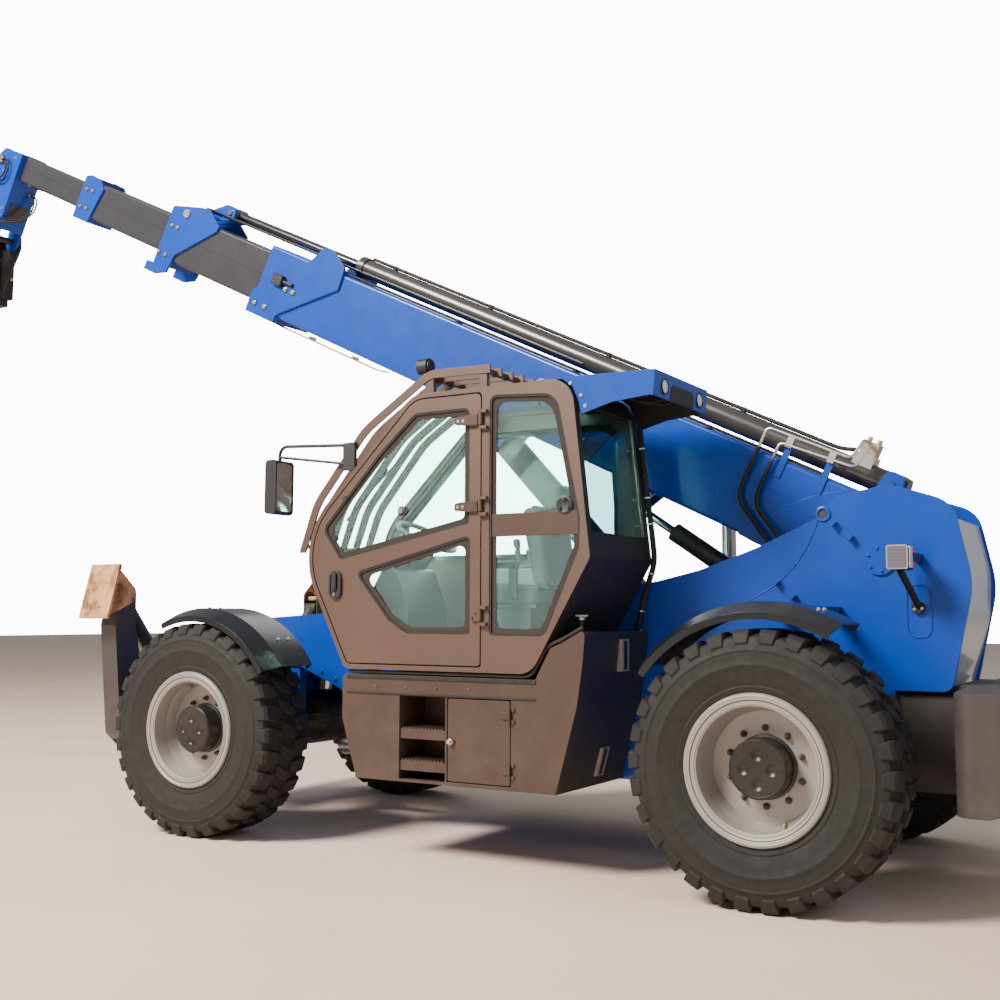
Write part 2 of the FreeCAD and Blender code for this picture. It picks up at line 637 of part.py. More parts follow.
def boom_section_2():
    width, depth = d.section_2_width, d.section_2_depth
    front = d.section_2_front
    low = d.boom_centre - depth / 2
    made = Body("boom_section_2")
    section_tube(made, depth, width, d.inner_wall, d.section_2_rear, front - 14,
                 d.section_3_depth, d.section_3_width)
    collar = [(front, low - 50), (front - 8, 266, 20), (front - 319, 336), (front - 407, 346, 20),
              (front - 574, 251), (front - 572, 211), (front - 206, -102), (front - 176, low - 90),
              (front - 55, -302), (front + 84, -300), (front + 76, low - 60), (front, low - 60)]
    collar_sides(made, width, collar, d.collar_wall)
    made.pad("XZ", 0, width + 10, box_outline(front - 170, front, low - 50, low + 4))
    eye = d.ram_eye_at
    bar = d.ram_line
    ear = [(eye - 52, bar - 52, 46), (eye + 360, 222), (front - 60, 222), (front - 319, 336),
           (eye + 60, bar + 52, 40), (eye - 52, bar + 52, 46)]
    for side in (1, -1):
        made.pad("XZ", side * 62, 28, ear, circles=[(eye, bar, 22 + d.running_gap)])
    return on_boom(made.body, "boom_section_2")


def boom_section_3():
    width, depth = d.section_3_width, d.section_3_depth
    front = d.section_3_front
    low, high = d.boom_centre - depth / 2, d.boom_centre + depth / 2
    made = Body("boom_section_3")
    section_tube(made, depth, width, d.inner_wall, d.section_3_rear, front - 14,
                 d.section_4_depth, d.section_4_width)
    collar = [(front, low - 40), (front - 8, high + 12), (front - 70, high + 36, 20), (front - 200, high + 30),
              (front - 275, high - 40), (front - 205, low - 40)]
    collar_sides(made, width, collar, d.collar_wall)
    made.pad("XZ", 0, width + 10, box_outline(front - 200, front, low - 40, low + 4))
    made.pad("XZ", 0, width + 10, box_outline(front - 200, front - 70, high - 4, high + 30))
    return on_boom(made.body, "boom_section_3")


def boom_section_4():
    """The innermost section with the head that carries the coupler."""
    width, depth = d.section_4_width, d.section_4_depth
    front = d.section_4_front
    low, high = d.boom_centre - depth / 2, d.boom_centre + depth / 2
    pin_x, pin_z = d.coupler_pin_at, -d.coupler_pin_drop
    made = Body("boom_section_4")
    section_tube(made, depth, width, d.inner_wall, d.section_4_rear, front)
    rear, half, wall, lug = d.head_rear, d.head_half, d.head_wall, d.head_lug
    head = [(pin_x - lug, pin_z - lug, 80), (rear, high + 6), (rear + 262, high + 6, 60),
            (rear + 340, high - 90, 50), (pin_x + lug + 10, pin_z + 170, 60), (pin_x + lug, pin_z - lug, 80)]
    for side in (1, -1):
        made.pad("XZ", side * (half - wall / 2), wall, head,
                 circles=[(pin_x, pin_z, d.coupler_pin_radius + d.running_gap)])
    across = 2 * half - wall
    made.pad("YZ", rear + wall / 2, wall, box_outline(-across / 2, across / 2, pin_z + 95, high + 4))
    made.pad("YZ", rear - 3, 10, box_outline(-84, 84, -432, -292, 12))
    made.pad("YZ", front - 170, 60, box_outline(-width / 2 + 4, width / 2 - 4, low - 12, low + 4, 4))
    cover = [(rear + 10, high + 4), (rear + 10, high - 10), (rear + 225, high - 10, 40),
             (rear + 296, high - 100, 40), (rear + 250, high - 180), (rear + 264, high - 188),
             (rear + 320, high - 90, 50), (rear + 250, high + 4, 50)]
    made.pad("XZ", 0, across, cover)
    tilt_x, tilt_z = d.tilt_base_at, d.tilt_base_above
    made.pad("XZ", 0, across, circles=[(tilt_x, tilt_z, 20)])
    return on_boom(made.body, "boom_section_4")


def extension_ram():
    """The long cylinder on top of the boom; its rod is pinned to the second section."""
    rear, front, line = d.ram_rear, d.ram_front, d.ram_line
    barrel = Body("extension_barrel")
    outline = [(rear, 0), (rear, d.ram_radius), (front - 60, d.ram_radius), (front - 60, d.ram_radius + 10),
               (front, d.ram_radius + 10), (front, d.ram_rod_radius + 1), (front - 60, d.ram_rod_radius + 1),
               (front - 60, d.ram_bore), (rear + 150, d.ram_bore), (rear + 150, 0)]
    barrel.turn("XZ", outline)
    barrel.cut("XZ", 0, 2 * d.ram_radius + 10, circles=[(d.ram_lug_at, 0, 22 + d.running_gap)])
    rod = Body("extension_rod")
    eye = d.ram_eye_at
    rod.turn("XZ", [(d.ram_rod_rear, 0), (d.ram_rod_rear, d.ram_rod_radius), (eye - 40, d.ram_rod_radius),
                    (eye - 40, 0)])
    rod.pad("XZ", 0, 90, circles=[(eye, 0, 48)])
    rod.pad("XZ", 0, 2 * (76 + 12), circles=[(eye, 0, 22)])
    for piece, label in ((barrel.body, "extension_cylinder_barrel"), (rod.body, "extension_cylinder_rod")):
        place(piece, origin_shift + boom_station(0, line), 0, boom_height(0, line), V(0, 1, 0), -d.boom_angle)
        sub_part(piece, label)


def tilt_ram():
    base_x, base_z = d.tilt_base_at, d.tilt_base_above
    at_x, at_z = boom_station(base_x, base_z), boom_height(base_x, base_z)
    eye_x, eye_z = coupler_station + d.tilt_eye_ahead, coupler_height + d.tilt_eye_up
    length, rise = between(at_x, at_z, eye_x, eye_z)
    barrel = ram_barrel("tilt_barrel", d.tilt_barrel_radius, d.tilt_bore, d.tilt_barrel_length,
                        d.tilt_rod_radius,
                        size(20), size(40), size(30))
    rod = ram_rod("tilt_rod", d.tilt_rod_radius, length - d.tilt_rod_length, size(length), size(20), size(40),
                  size(28), size(34))
    for piece, label in ((barrel, "tilt_cylinder_barrel"), (rod, "tilt_cylinder_rod")):
        place(piece, origin_shift + at_x, 0, at_z, V(0, 1, 0), -rise)
        sub_part(piece, label)


def fork_carriage():
    """Drawn about the coupler pin, standing upright: the frame, its ears and the pair of forks."""
    half, top, bottom = d.carriage_half, d.carriage_top, -d.fork_drop + 60
    back = d.fork_face - 45
    made = Body("fork_carriage")
    hollow = box_outline(-half + 60, half - 60, bottom + 90, top - 90, 15)
    made.pad("YZ", back + 22.5, 45, box_outline(-half, half, bottom, top, 20), hollow)
    inner = d.head_half + d.move_gap
    ear = [(-75, -75, 70), (back + 10, bottom + 40), (back + 10, top - 10), (-10, 95, 40), (-75, 40, 40)]
    for side in (1, -1):
        made.pad("XZ", side * (inner + 11), 22, ear)
        made.pad("YZ", back + 12, 24, box_outline(side * inner, side * (inner + 90), bottom + 10, top - 10))
    made.pad("XZ", 0, 2 * (inner + 30), circles=[(0, 0, d.coupler_pin_radius)])
    eye_x, eye_z = d.tilt_eye_ahead, d.tilt_eye_up
    ear = [(back + 5, top - 80), (back + 40, top - 80), (back + 40, top - 5), (eye_x + 40, eye_z + 40, 38),
           (eye_x - 40, eye_z + 40, 38), (eye_x - 40, eye_z - 20, 30)]
    for side in (1, -1):
        made.pad("XZ", side * 46, 20, ear)
    place(made.body, origin_shift + coupler_station, 0, coupler_height)
    sub_part(made.body, "fork_carriage")
    forks = []
    face, heel, drop = d.fork_face + d.seat_gap, d.fork_heel, d.fork_drop
    blade = [(face, -drop), (face + heel + d.fork_length, -drop), (face + heel + d.fork_length, -drop + 12),
             (face + heel + 300, -drop + heel), (face + heel, -drop + heel, 25), (face + heel, top - 20),
             (face, top - 20)]
    for side in (1, -1):
        fork = Body("fork")
        fork.pad("XZ", side * (d.fork_gap / 2 + d.fork_width / 2), d.fork_width, blade)
        forks.append(fork.body)
    pair = gathered("fork_pair", forks)
    place(pair, origin_shift + coupler_station, 0, coupler_height)
    sub_part(pair, "forks")


CAB_FRONT_LOW, CAB_NOSE, CAB_FRONT_HIGH = (2560, 60), (2950, 1846, 450), (2082, 200)
CAB_REAR_HIGH, CAB_WAIST, CAB_REAR_LOW = (1030, 150), (919, 1718, 60), (1282, 130)


def cab_outline():
    """The cab's side view: floor, nose, windscreen line, roof, rear and waist."""
    return [
        (CAB_REAR_LOW[0], d.cab_floor, CAB_REAR_LOW[1]), (CAB_FRONT_LOW[0], d.cab_floor, CAB_FRONT_LOW[1]),
        CAB_NOSE, (CAB_FRONT_HIGH[0], d.cab_roof, CAB_FRONT_HIGH[1]),
        (CAB_REAR_HIGH[0], d.cab_roof, CAB_REAR_HIGH[1]), CAB_WAIST]


def inset(corners, gap):
    """The same outline moved inwards, for corners given anticlockwise."""
    gap = float(gap)
    places = [V(float(c[0]), float(c[1]), 0) for c in corners]
    moved = []
    for index, corner in enumerate(corners):
        before, here, after = places[index - 1], places[index], places[(index + 1) % len(corners)]
        came, goes = (here - before).normalize(), (after - here).normalize()
        normal_in = V(-came.y, came.x, 0)
        normal_out = V(-goes.y, goes.x, 0)
        shift = (normal_in + normal_out) * (gap / (1 + normal_in.dot(normal_out)))
        point = here + shift
        moved.append((point.x, point.y, max(float(corner[2]) - gap, 8)) if len(corner) > 2
                     else (point.x, point.y))
    return moved


UPPER_WINDOW = [(1682, 1925, 25), (2605, 1737, 25), (2742, 1925, 60), (2318, 2365, 120), (2063, 2585, 60),
                (1682, 2588, 40)]
LOWER_WINDOW = [(1675, 1300, 25), (2110, 1300, 40), (2240, 1375, 60), (2489, 1660, 30), (1675, 1860, 30)]
QUARTER_WINDOW = [(1549, 1295, 30), (1549, 2648, 45), (1120, 2620, 110), (978, 1930, 40), (984, 1770, 40),
                  (1195, 1295, 60)]


def door_outline(gap=0):
    """The door takes the side ahead of its hinge post, just inside the cab's edge."""
    ring = inset(cab_outline(), 28 + gap)
    front_low, nose, front_high = ring[1], ring[2], ring[3]
    rear = float(d.door_rear) + gap
    return [(rear, front_low[1], 20), (front_low[0], front_low[1], 40), nose, front_high,
            (rear, front_high[1], 30)]


SCREEN_REGION = [(2550, 1350), (3100, 1350), (3100, 2640), (2080, 2640)]
REAR_REGION = [(860, 1860), (1120, 1860), (1120, 2560), (860, 2560)]
ROOF_REGION = [(1350, 2600), (1950, 2600), (1950, 2800), (1350, 2800)]
HINGE_HEIGHTS = (1405, 2019, 2511)
RIGHT_WINDOW = [(1120, 1750, 60), (2640, 1750, 120), (2700, 1990, 60), (2140, 2560, 120), (1120, 2560, 90)]


def cab_shell():
    side, inner, wall = d.cab_side, d.cab_inner, d.cab_wall
    outline = cab_outline()
    made = Body("cab_shell")
    made.pad("XZ", (side + inner) / 2, side - inner, outline, inset(outline, wall))
    made.pad("XZ", side - wall / 2, wall, inset(outline, 5))
    made.cut("XZ", side - wall / 2, wall + 1, door_outline())
    made.cut("XZ", side - wall / 2, wall + 1, QUARTER_WINDOW)
    made.pad("XZ", inner + wall / 2, wall, inset(outline, 5), RIGHT_WINDOW)
    low, high = inner + wall + 10, side - wall - 10
    for region in (SCREEN_REGION, REAR_REGION, ROOF_REGION):
        made.cut("XZ", (low + high) / 2, high - low, region)
    for z in HINGE_HEIGHTS:
        for rise in (-46, 46):
            made.pad("XY", z + rise, 18, circles=[(d.door_rear, side + d.hinge_out, d.hinge_radius)])
            made.pad("XY", z + rise, 18, box_outline(d.door_rear - 42, d.door_rear - 2, side - 3,
                                                     side + d.hinge_out + d.hinge_radius - 2))
    return at_home(made.body, "cab_shell")


def cab_glazing():
    """Fixed glass: windscreen, rear, roof, right side and left quarter."""
    side, inner, wall = d.cab_side, d.cab_inner, d.cab_wall
    low, high = inner + wall + 10 + d.seat_gap, side - wall - 10 - d.seat_gap
    outer = inset(cab_outline(), d.glass_inset)
    under = inset(cab_outline(), d.glass_inset + d.glass_wall)
    panes = []
    for name, region in (("windscreen", SCREEN_REGION), ("rear_glass", REAR_REGION),
                         ("roof_glass", ROOF_REGION)):
        band = Body(name + "_band")
        band.pad("XZ", (low + high) / 2, high - low, outer, under)
        block = Body(name + "_block")
        block.pad("XZ", (low + high) / 2, high - low, inset(region, d.seat_gap))
        common = doc.addObject("Part::MultiCommon", name)
        common.Shapes = [band.body, block.body]
        panes.append(common)
    middle = d.glass_inset + d.glass_wall / 2
    for name, at, window in (("quarter_glass", side - middle, QUARTER_WINDOW),
                             ("right_glass", inner + middle, RIGHT_WINDOW)):
        pane = Body(name)
        pane.pad("XZ", at, d.glass_wall, window)
        panes.append(pane.body)
    return at_home(gathered("cab_glazing_set", panes), "cab_glazing")


def cab_door():
    side, wall = d.cab_side, d.cab_wall
    made = Body("cab_door")
    made.pad("XZ", side - wall / 2, wall, door_outline(float(d.panel_gap)), UPPER_WINDOW, LOWER_WINDOW)
    hinge_x, hinge_y, barrel = d.door_rear, side + d.hinge_out, d.hinge_radius
    for z in HINGE_HEIGHTS:
        made.pad("XZ", side + 3, 10, box_outline(hinge_x + 14, hinge_x + 62, z - 30, z + 30, 8))
        made.pad("XZ", hinge_y - 5, 8, box_outline(hinge_x, hinge_x + 60, z - 30, z + 30))
        made.pad("XY", z, 60, circles=[(hinge_x, hinge_y, barrel)])
    made.pad("XZ", side + 3, 14, box_outline(2600, 2662, 1535, 1640, 28))
    at_home(made.body, "cab_door")
    panes = []
    for name, window in (("door_upper_glass", UPPER_WINDOW), ("door_lower_glass", LOWER_WINDOW)):
        pane = Body(name)
        pane.pad("XZ", side - d.glass_inset - d.glass_wall / 2, d.glass_wall, window)
        panes.append(pane.body)
    at_home(gathered("door_panes", panes), "cab_door_glazing")


def cab_inside():
    inner, floor, wall = d.cab_inner, d.cab_floor, d.cab_wall
    middle = (d.cab_side + inner) / 2
    base = floor + wall + d.seat_gap
    seat = Body("operator_seat")
    seat.pad("XZ", middle, 480, [(1330, base + 330, 30), (1810, base + 330, 40), (1810, base + 430, 45),
                                 (1450, base + 425, 40), (1340, base + 1000, 45), (1230, base + 1000, 45)])
    at_home(seat.body, "operator_seat")
    stand = Body("seat_base")
    stand.pad("XZ", middle, 380, box_outline(1400, 1760, base, base + 330 - d.seat_gap))
    dash = Body("dash")
    dash.pad("XZ", middle, 420, [(2230, base), (2460, base), (2560, base + 330), (2420, base + 560, 40),
                                 (2330, base + 560, 40), (2230, base + 300)])
    wheel = doc.addObject("Part::Torus", "steering_wheel")
    wheel.Radius1, wheel.Radius2 = 190, 15
    column = doc.addObject("Part::Cylinder", "steering_column")
    column.Radius, column.Height = 28, 260
    lean = FreeCAD.Rotation(V(0, 1, 0), -28)
    foot = V(2370, float(middle), float(base) + 520)
    column.Placement = FreeCAD.Placement(foot, lean)
    wheel.Placement = FreeCAD.Placement(foot + lean.multVec(V(0, 0, 262)), lean)
    spokes = doc.addObject("Part::Box", "steering_spokes")
    spokes.Length, spokes.Width, spokes.Height = 50, 380, 16
    spokes.Placement = FreeCAD.Placement(foot + lean.multVec(V(-25, -190, 254)), lean)
    whole = doc.addObject("Part::MultiFuse", "controls_fused")
    whole.Shapes = [dash.body, column, wheel, spokes]
    at_home(gathered("controls_and_seat_base", [whole, stand.body]), "cab_controls")


def step_box():
    """Tank and steps under the cab, with the locker beside them and the cab's rubber feet on top."""
    side, inner = d.step_side, d.step_inner
    bottom, top = d.step_bottom, d.step_top
    front, rear = d.step_front, d.step_rear
    outline = [(rear, bottom), (front - 110, bottom), (front, 800), (front, top, 30), (rear + 125, top),
               (rear + 32, 1232), (rear - 40, 1262, 20), (rear - 180, 1338, 20), (rear - 165, 1160),
               (rear - 130, 927)]
    made = Body("step_box")
    made.pad("XZ", (side + inner) / 2, side - inner, outline)
    made.cut("XZ", side - 130, 262, box_outline(1848, 2166, 470, 945))
    for z in (700, 520):
        made.pad("XZ", side - 135, 250, box_outline(1846, 2168, z, z + 55))
    made.cut("XZ", side - 120, 242, box_outline(1417, 1836, 475, 945))
    for z in (528, 592, 828, 892):
        made.pad("XZ", side + 2, 12, box_outline(1392, 1416, z - 10, z + 10))
        made.pad("XY", z, 20, circles=[(1420, side + 14, 8)])
    feet = [(x, y, 45) for x in (1400, 2450) for y in (inner + 70, side - 120)]
    lift = d.cab_floor - d.seat_gap - top
    made.pad("XY", top + lift / 2 - 2, lift + 4, circles=feet)
    return at_home(made.body, "step_box")


def locker_door():
    made = Body("locker_door")
    side = d.step_side
    made.pad("XZ", side - 10, 20, box_outline(1423, 1829, 481, 939, 12))
    for z in (560, 860):
        made.pad("XZ", side + 3, 10, box_outline(1422, 1470, z - 20, z + 20))
        made.pad("XY", z, 44 - 2 * d.running_gap, circles=[(1420, side + 14, 8)])
    made.pad("XZ", side + 4, 12, circles=[(1795, 700, 14)])
    return at_home(made.body, "locker_door")


def engine_side():
    rear, front, side, inner = d.pod_rear, d.pod_front, d.pod_side, d.pod_inner
    wall, top = d.pod_wall, d.pod_top
    made = Body("engine_pod")
    made.pad("XY", (top + d.pod_bottom) / 2, top - d.pod_bottom, box_outline(rear, front, -side, -inner, 60))
    made.cut("XY", (top + d.pod_bottom + wall) / 2 + 10, top - d.pod_bottom - wall + 20,
             box_outline(rear + wall, front - wall, -side + wall, -inner - wall, 35))
    at_home(made.body, "engine_pod")
    block = Body("engine_block")
    low, high = d.pod_bottom + wall + d.seat_gap, size(1190)
    block.pad("XY", (low + high) / 2, high - low, box_outline(1250, 2350, -1060, -540, 20))
    at_home(block.body, "engine_block")
    base = top + d.move_gap
    hood = Body("engine_hood")
    outline = [(rear, base), (front, base), (front, d.hood_nose, 60), (1500, d.hood_top, 300),
               (rear, d.hood_top, 50)]
    hood.pad("XZ", -(side + inner) / 2, side - inner, outline)
    hood.cut("XZ", -(side + inner) / 2, side - inner - 2 * wall,
             [(rear + wall, base - 5), (front - wall, base - 5), (front - wall, d.hood_nose - wall),
              (1500, d.hood_top - wall), (rear + wall, d.hood_top - wall)])
    for index in range(7):
        z = base + 60 + index * 28
        hood.cut("XZ", -side + wall / 2, wall + 4, box_outline(1080, 1700, z, z + 13))
        hood.cut("YZ", rear + wall / 2, wall + 4, box_outline(-1060, -520, z, z + 13))
    at_home(hood.body, "engine_hood")


def handed(corners, sign):
    """An outline drawn for the left, or its mirror image kept anticlockwise."""
    turned = [(sign * size(corner[0]),) + tuple(corner[1:]) for corner in corners]
    return turned if sign > 0 else turned[::-1]


def stabilisers():
    x, width = d.leg_station, d.leg_width
    side, height = d.leg_pivot_side, d.leg_pivot_height
    beam = Body("stabiliser_beam")
    beam.pad("YZ", x, width - 2 * d.leg_wall - 2 * d.move_gap, [
        (-side - 60, height - 60, 58), (side + 60, height - 60, 58), (side + 60, height + 60, 58),
        (500, height + 130), (-500, height + 130), (-side - 60, height + 60, 58)])
    beam.pad("YZ", d.frame_nose + (x - d.frame_nose - width / 2) / 2 + 20, x - d.frame_nose - width / 2 + 40,
             box_outline(-350, 350, height - 60, height + 110))
    foot_y, foot_z = d.leg_ram_foot_side, d.leg_ram_foot_height
    for sign in (1, -1):
        ear = [(foot_y - 90, height + 60), (foot_y + 90, height + 60), (foot_y + 36, foot_z + 36, 34),
               (foot_y - 36, foot_z + 36, 34)]
        slot = [(side - 110, height + 82), (side, height + 38), (side + 100, height), (side + 100, height + 140),
                (side - 110, height + 140)]
        for offset in (1, -1):
            beam.pad("YZ", x + offset * 42, 14, handed(ear, sign))
            beam.pad("YZ", x + offset * 53, 10, circles=[(sign * foot_y, foot_z, 30)])
        beam.cut("YZ", x, 62, handed(slot, sign))
    beam.pad("YZ", x, width + 16, circles=[(y, height, d.leg_pivot_radius) for y in (side, -side)])
    at_home(beam.body, "stabiliser_beam")
    for name, sign in (("left", 1), ("right", -1)):
        leg = Body("leg_" + name)
        pin_y, pin_z = d.pad_pin_side, d.pad_pin_height
        leg.pad("YZ", x, width, handed([
            (side - 75, height - 75, 70), (side + 75, height - 75, 60), (side + 190, height + 30, 40),
            (pin_y + 118, 1330), (pin_y + 60, 1600, 55), (pin_y - 60, 1600, 55), (pin_y - 60, 1330),
            (side - 70, height + 100)], sign))
        leg.cut("YZ", x, width - 2 * d.leg_wall, handed([
            (side - 120, height - 120), (side + 90, height - 120), (side + 172, height + 60),
            (pin_y + 104, 1330), (pin_y + 40, 1700), (pin_y - 90, 1700), (side - 120, height + 100)], sign))
        bores = [(sign * side, height, d.leg_pivot_radius + d.running_gap),
                 (sign * pin_y, pin_z, d.pad_pin_radius + d.running_gap)]
        leg.cut("YZ", x, width + 10, circles=bores)
        leg.pad("YZ", x, width, circles=[(sign * d.leg_ram_top_side, d.leg_ram_top_height, d.pad_pin_radius)])
        at_home(leg.body, "stabiliser_leg_" + name)
        pad = Body("pad_" + name)
        plate_y, plate_z = pin_y + 185, pin_z + 20
        half_y, half_z = d.pad_half_rise * sine(d.pad_lean), d.pad_half_rise * cosine(d.pad_lean)
        thick_y, thick_z = d.pad_wall * cosine(d.pad_lean), d.pad_wall * sine(d.pad_lean)
        pad.pad("YZ", x, d.pad_width, handed([
            (plate_y + half_y, plate_z - half_z), (plate_y + half_y + thick_y, plate_z - half_z + thick_z),
            (plate_y - half_y + thick_y, plate_z + half_z + thick_z),
            (plate_y - half_y, plate_z + half_z)], sign))
        web = handed([
            (plate_y + half_y + 4, plate_z - half_z), (plate_y - half_y + 4, plate_z + half_z),
            (pin_y - 40, pin_z + 40, 38), (pin_y - 40, pin_z - 40, 38)], sign)
        for offset in (1, -1):
            pad.pad("YZ", x + offset * (width / 2 + d.move_gap + 6), 12, web)
        pad.pad("YZ", x, width + 2 * d.move_gap + 30, circles=[(sign * pin_y, pin_z, d.pad_pin_radius)])
        at_home(pad.body, "stabiliser_pad_" + name)


def swept(name, profile, start, end):
    """A guard bent round a wheel: a profile of (side, radius) turned from one angle to another."""
    made = Body(name)
    sketch = made.drawn("YZ", 0, [profile], ())
    turned = made.body.newObject("PartDesign::Revolution", name + "_turned")
    turned.Profile = sketch
    turned.ReferenceAxis = (sketch, ["H_Axis"])
    turned.Midplane = True
    turned.Angle = float(end - start)
    bind(turned, "Angle", end - start)
    return made


def fender_profile(radius, inner, outer):
    """Crown, shoulder and turned-down lip, as thick as the moulding."""
    wall = d.fender_wall
    return [
        (inner, radius - 40), (inner + wall, radius - 40), (inner + wall, radius), (outer - 130, radius),
        (outer - wall, radius - 50), (outer - wall, radius - 80), (outer, radius - 80), (outer, radius - 44),
        (outer - 128, radius + wall), (inner, radius + wall)]


def rounded_tube(points, radius, bend):
    """A round tube along straight runs joined by tangent arcs, as one shape."""
    points = [V(*(float(value) for value in point)) for point in points]
    solids = []
    start = points[0]
    for index in range(1, len(points)):
        corner = points[index]
        ahead = (corner - points[index - 1]).normalize()
        if index == len(points) - 1:
            solids.append(Part.makeCylinder(radius, (corner - start).Length, start, ahead))
            break
        leaves = (points[index + 1] - corner).normalize()
        turn = ahead.getAngle(leaves)
        reach = bend * math.tan(turn / 2)
        near = corner - ahead * reach
        solids.append(Part.makeCylinder(radius, (near - start).Length, start, ahead))
        axis = ahead.cross(leaves).normalize()
        centre = near + axis.cross(ahead) * bend
        face = Part.Face(Part.Wire(Part.makeCircle(radius, near, ahead)))
        solids.append(face.revolve(centre, axis, math.degrees(turn)))
        start = corner + leaves * reach
    return solids[0].multiFuse(solids[1:]).removeSplitter()


def tube(name, points, radius, bend):
    made = doc.addObject("Part::Feature", name)
    made.Shape = rounded_tube(points, float(radius), float(bend))
    return made


def joined(name, pieces):
    """Pieces welded into one solid."""
    made = doc.addObject("Part::MultiFuse", name)
    made.Shapes = pieces
    return made


def fenders():
    """The front pair turns with the wheels; the rear pair is fixed to the tower."""
    inner, outer, wall = d.fender_inner, d.fender_outer, d.fender_wall
    radius = d.fender_radius
    crown = swept("front_fender", fender_profile(radius, inner, outer), d.fender_start, d.fender_end)
    place(crown.body, 0, 0, 0, V(0, 1, 0), 90 - (d.fender_start + d.fender_end) / 2)
    foot = d.kingpin_boss_height / 2 + 1 + d.knuckle_arm + d.seat_gap
    stay = Body("front_fender_stay")
    stay.pad("YZ", 0, 60, [
        (inner - 46, foot), (inner - 12, foot), (inner - 12, radius - 75, 30), (inner + 40, radius - 24, 30),
        (inner + 260, radius - 24), (inner + 260, radius + wall / 2), (inner + 30, radius + wall / 2),
        (inner - 46, radius - 65, 40)])
    whole = joined("front_fender_whole", [crown.body, stay.body])
    for piece, label in ((gathered("front_fender_here", [whole]), "front_fender_left"),
                         (mirrored(whole, "front_fender_other"), "front_fender_right")):
        sub_part(place(piece, origin_shift + d.wheelbase, 0, axle_height), label)
    radius = d.rear_fender_radius
    crown = swept("rear_fender", fender_profile(radius, inner, outer), d.rear_fender_start,
                  d.rear_fender_end)
    place(crown.body, 0, 0, axle_height, V(0, 1, 0), 90 - (d.rear_fender_start + d.rear_fender_end) / 2)
    stays = []
    for x in (-150, 150):
        stay = Body("rear_fender_stay")
        low, high = d.plate_side + d.seat_gap, inner + 280
        stay.pad("XZ", (low + high) / 2, high - low,
                 box_outline(x - 30, x + 30, axle_height + radius - 50, axle_height + radius - 15))
        stays.append(stay.body)
    left = joined("rear_fender_whole", [crown.body] + stays)
    at_home(gathered("rear_fender_pair", [left, mirrored(left, "rear_fender_right")]), "rear_fenders")


def rear_visor():
    """The roof's tail: a thin top, a rear face with the lamps' holes and two cheeks."""
    low, high = d.visor_inner, d.visor_outer
    roof = d.cab_roof + d.seat_gap
    made = Body("rear_visor")
    made.pad("XZ", (low + high) / 2, high - low, [
        (1320, roof), (1320, roof + 8), (1060, roof + 10), (548, roof + 3), (562, 2565), (574, 2565),
        (561, roof - 9), (1060, roof)])
    cheek = [(548, roof + 3), (562, 2570), (800, 2548), (985, 2498, 8), (1003, 2572), (1036, 2650),
             (1100, roof), (1100, roof + 9)]
    for side in (low + 5, high - 5):
        made.pad("XZ", side, 10, cheek)
    made.cut("YZ", 568, 60, circles=[(1050, 2630, 44), (560, 2630, 44)])
    return at_home(made.body, "rear_visor")


def cab_guard():
    """Six flat bars over the roof and windscreen on cross members and feet."""
    low, high, bar = d.guard_low, d.guard_high, d.guard_bar
    outline = [
        (1591, 2793), (2005, 2800, 150), (2465, 2505, 450), (2820, 2085, 350), (2935, 1790), (2985, 1790),
        (2872, 2105, 400), (2500, 2545, 500), (2020, 2850, 200), (1591, 2843)]
    bars = []
    pitch = (high - low - bar) / 5
    for index in range(6):
        made = Body("guard_bar")
        made.pad("XZ", low + bar / 2 + pitch * index, bar, outline)
        bars.append(made.body)
    cross = Body("guard_cross")
    width = high - low
    for x, z in ((1640, 2815), (2030, 2815), (2945, 1830)):
        cross.pad("XZ", (low + high) / 2, width, box_outline(x - 18, x + 18, z - 12, z + 12))
    bars.append(cross.body)
    feet = Body("guard_feet")
    roof = d.cab_roof + d.seat_gap
    for y in (low + 20, high - 20):
        for x in (1640, 2010):
            feet.pad("XZ", y, 30, box_outline(x - 25, x + 25, roof, 2815))
    bars.append(feet.body)
    welded = joined("cab_guard_welded", bars)
    lamps = []
    for y in (low + 90, high - 90):
        lamp = Body("work_lamp")
        lamp.pad("YZ", 2105, 70, circles=[(y, 2895, 48)])
        lamp.pad("YZ", 2070, 24, circles=[(y, 2895, 38)])
        lamp.pad("XY", 2844, 33 - d.seat_gap, box_outline(2015, 2110, y - 20, y + 20))
        lamps.append(lamp.body)
    return at_home(gathered("cab_guard_and_lamps", [welded] + lamps), "cab_guard")


def mirror():
    """Left mirror on its twin-tube arm."""
    side = d.mirror_side
    head = Body("mirror_head")
    head.pad("XZ", side, 170, box_outline(3060, 3150, 2030, 2370, 28))
    head.cut("XZ", side, 150, box_outline(3050, 3066, 2045, 2355))
    start = d.guard_high + 13
    arm = [
        tube("mirror_arm", [(2575, start, 2300), (2575, start, 2440), (3105, side, 2460), (3105, side, 2350)],
             11, 55),
        tube("mirror_arm_low", [(2560, start, 2320), (3100, side, 2392)], 9, 40)]
    clamp = doc.addObject("Part::Box", "mirror_clamp")
    clamp.Length, clamp.Width, clamp.Height = 90, 26, 170
    clamp.Placement.Base = V(2540, float(d.guard_high + d.seat_gap), 2285)
    return at_home(joined("mirror_whole", [head.body, clamp] + arm), "mirror")


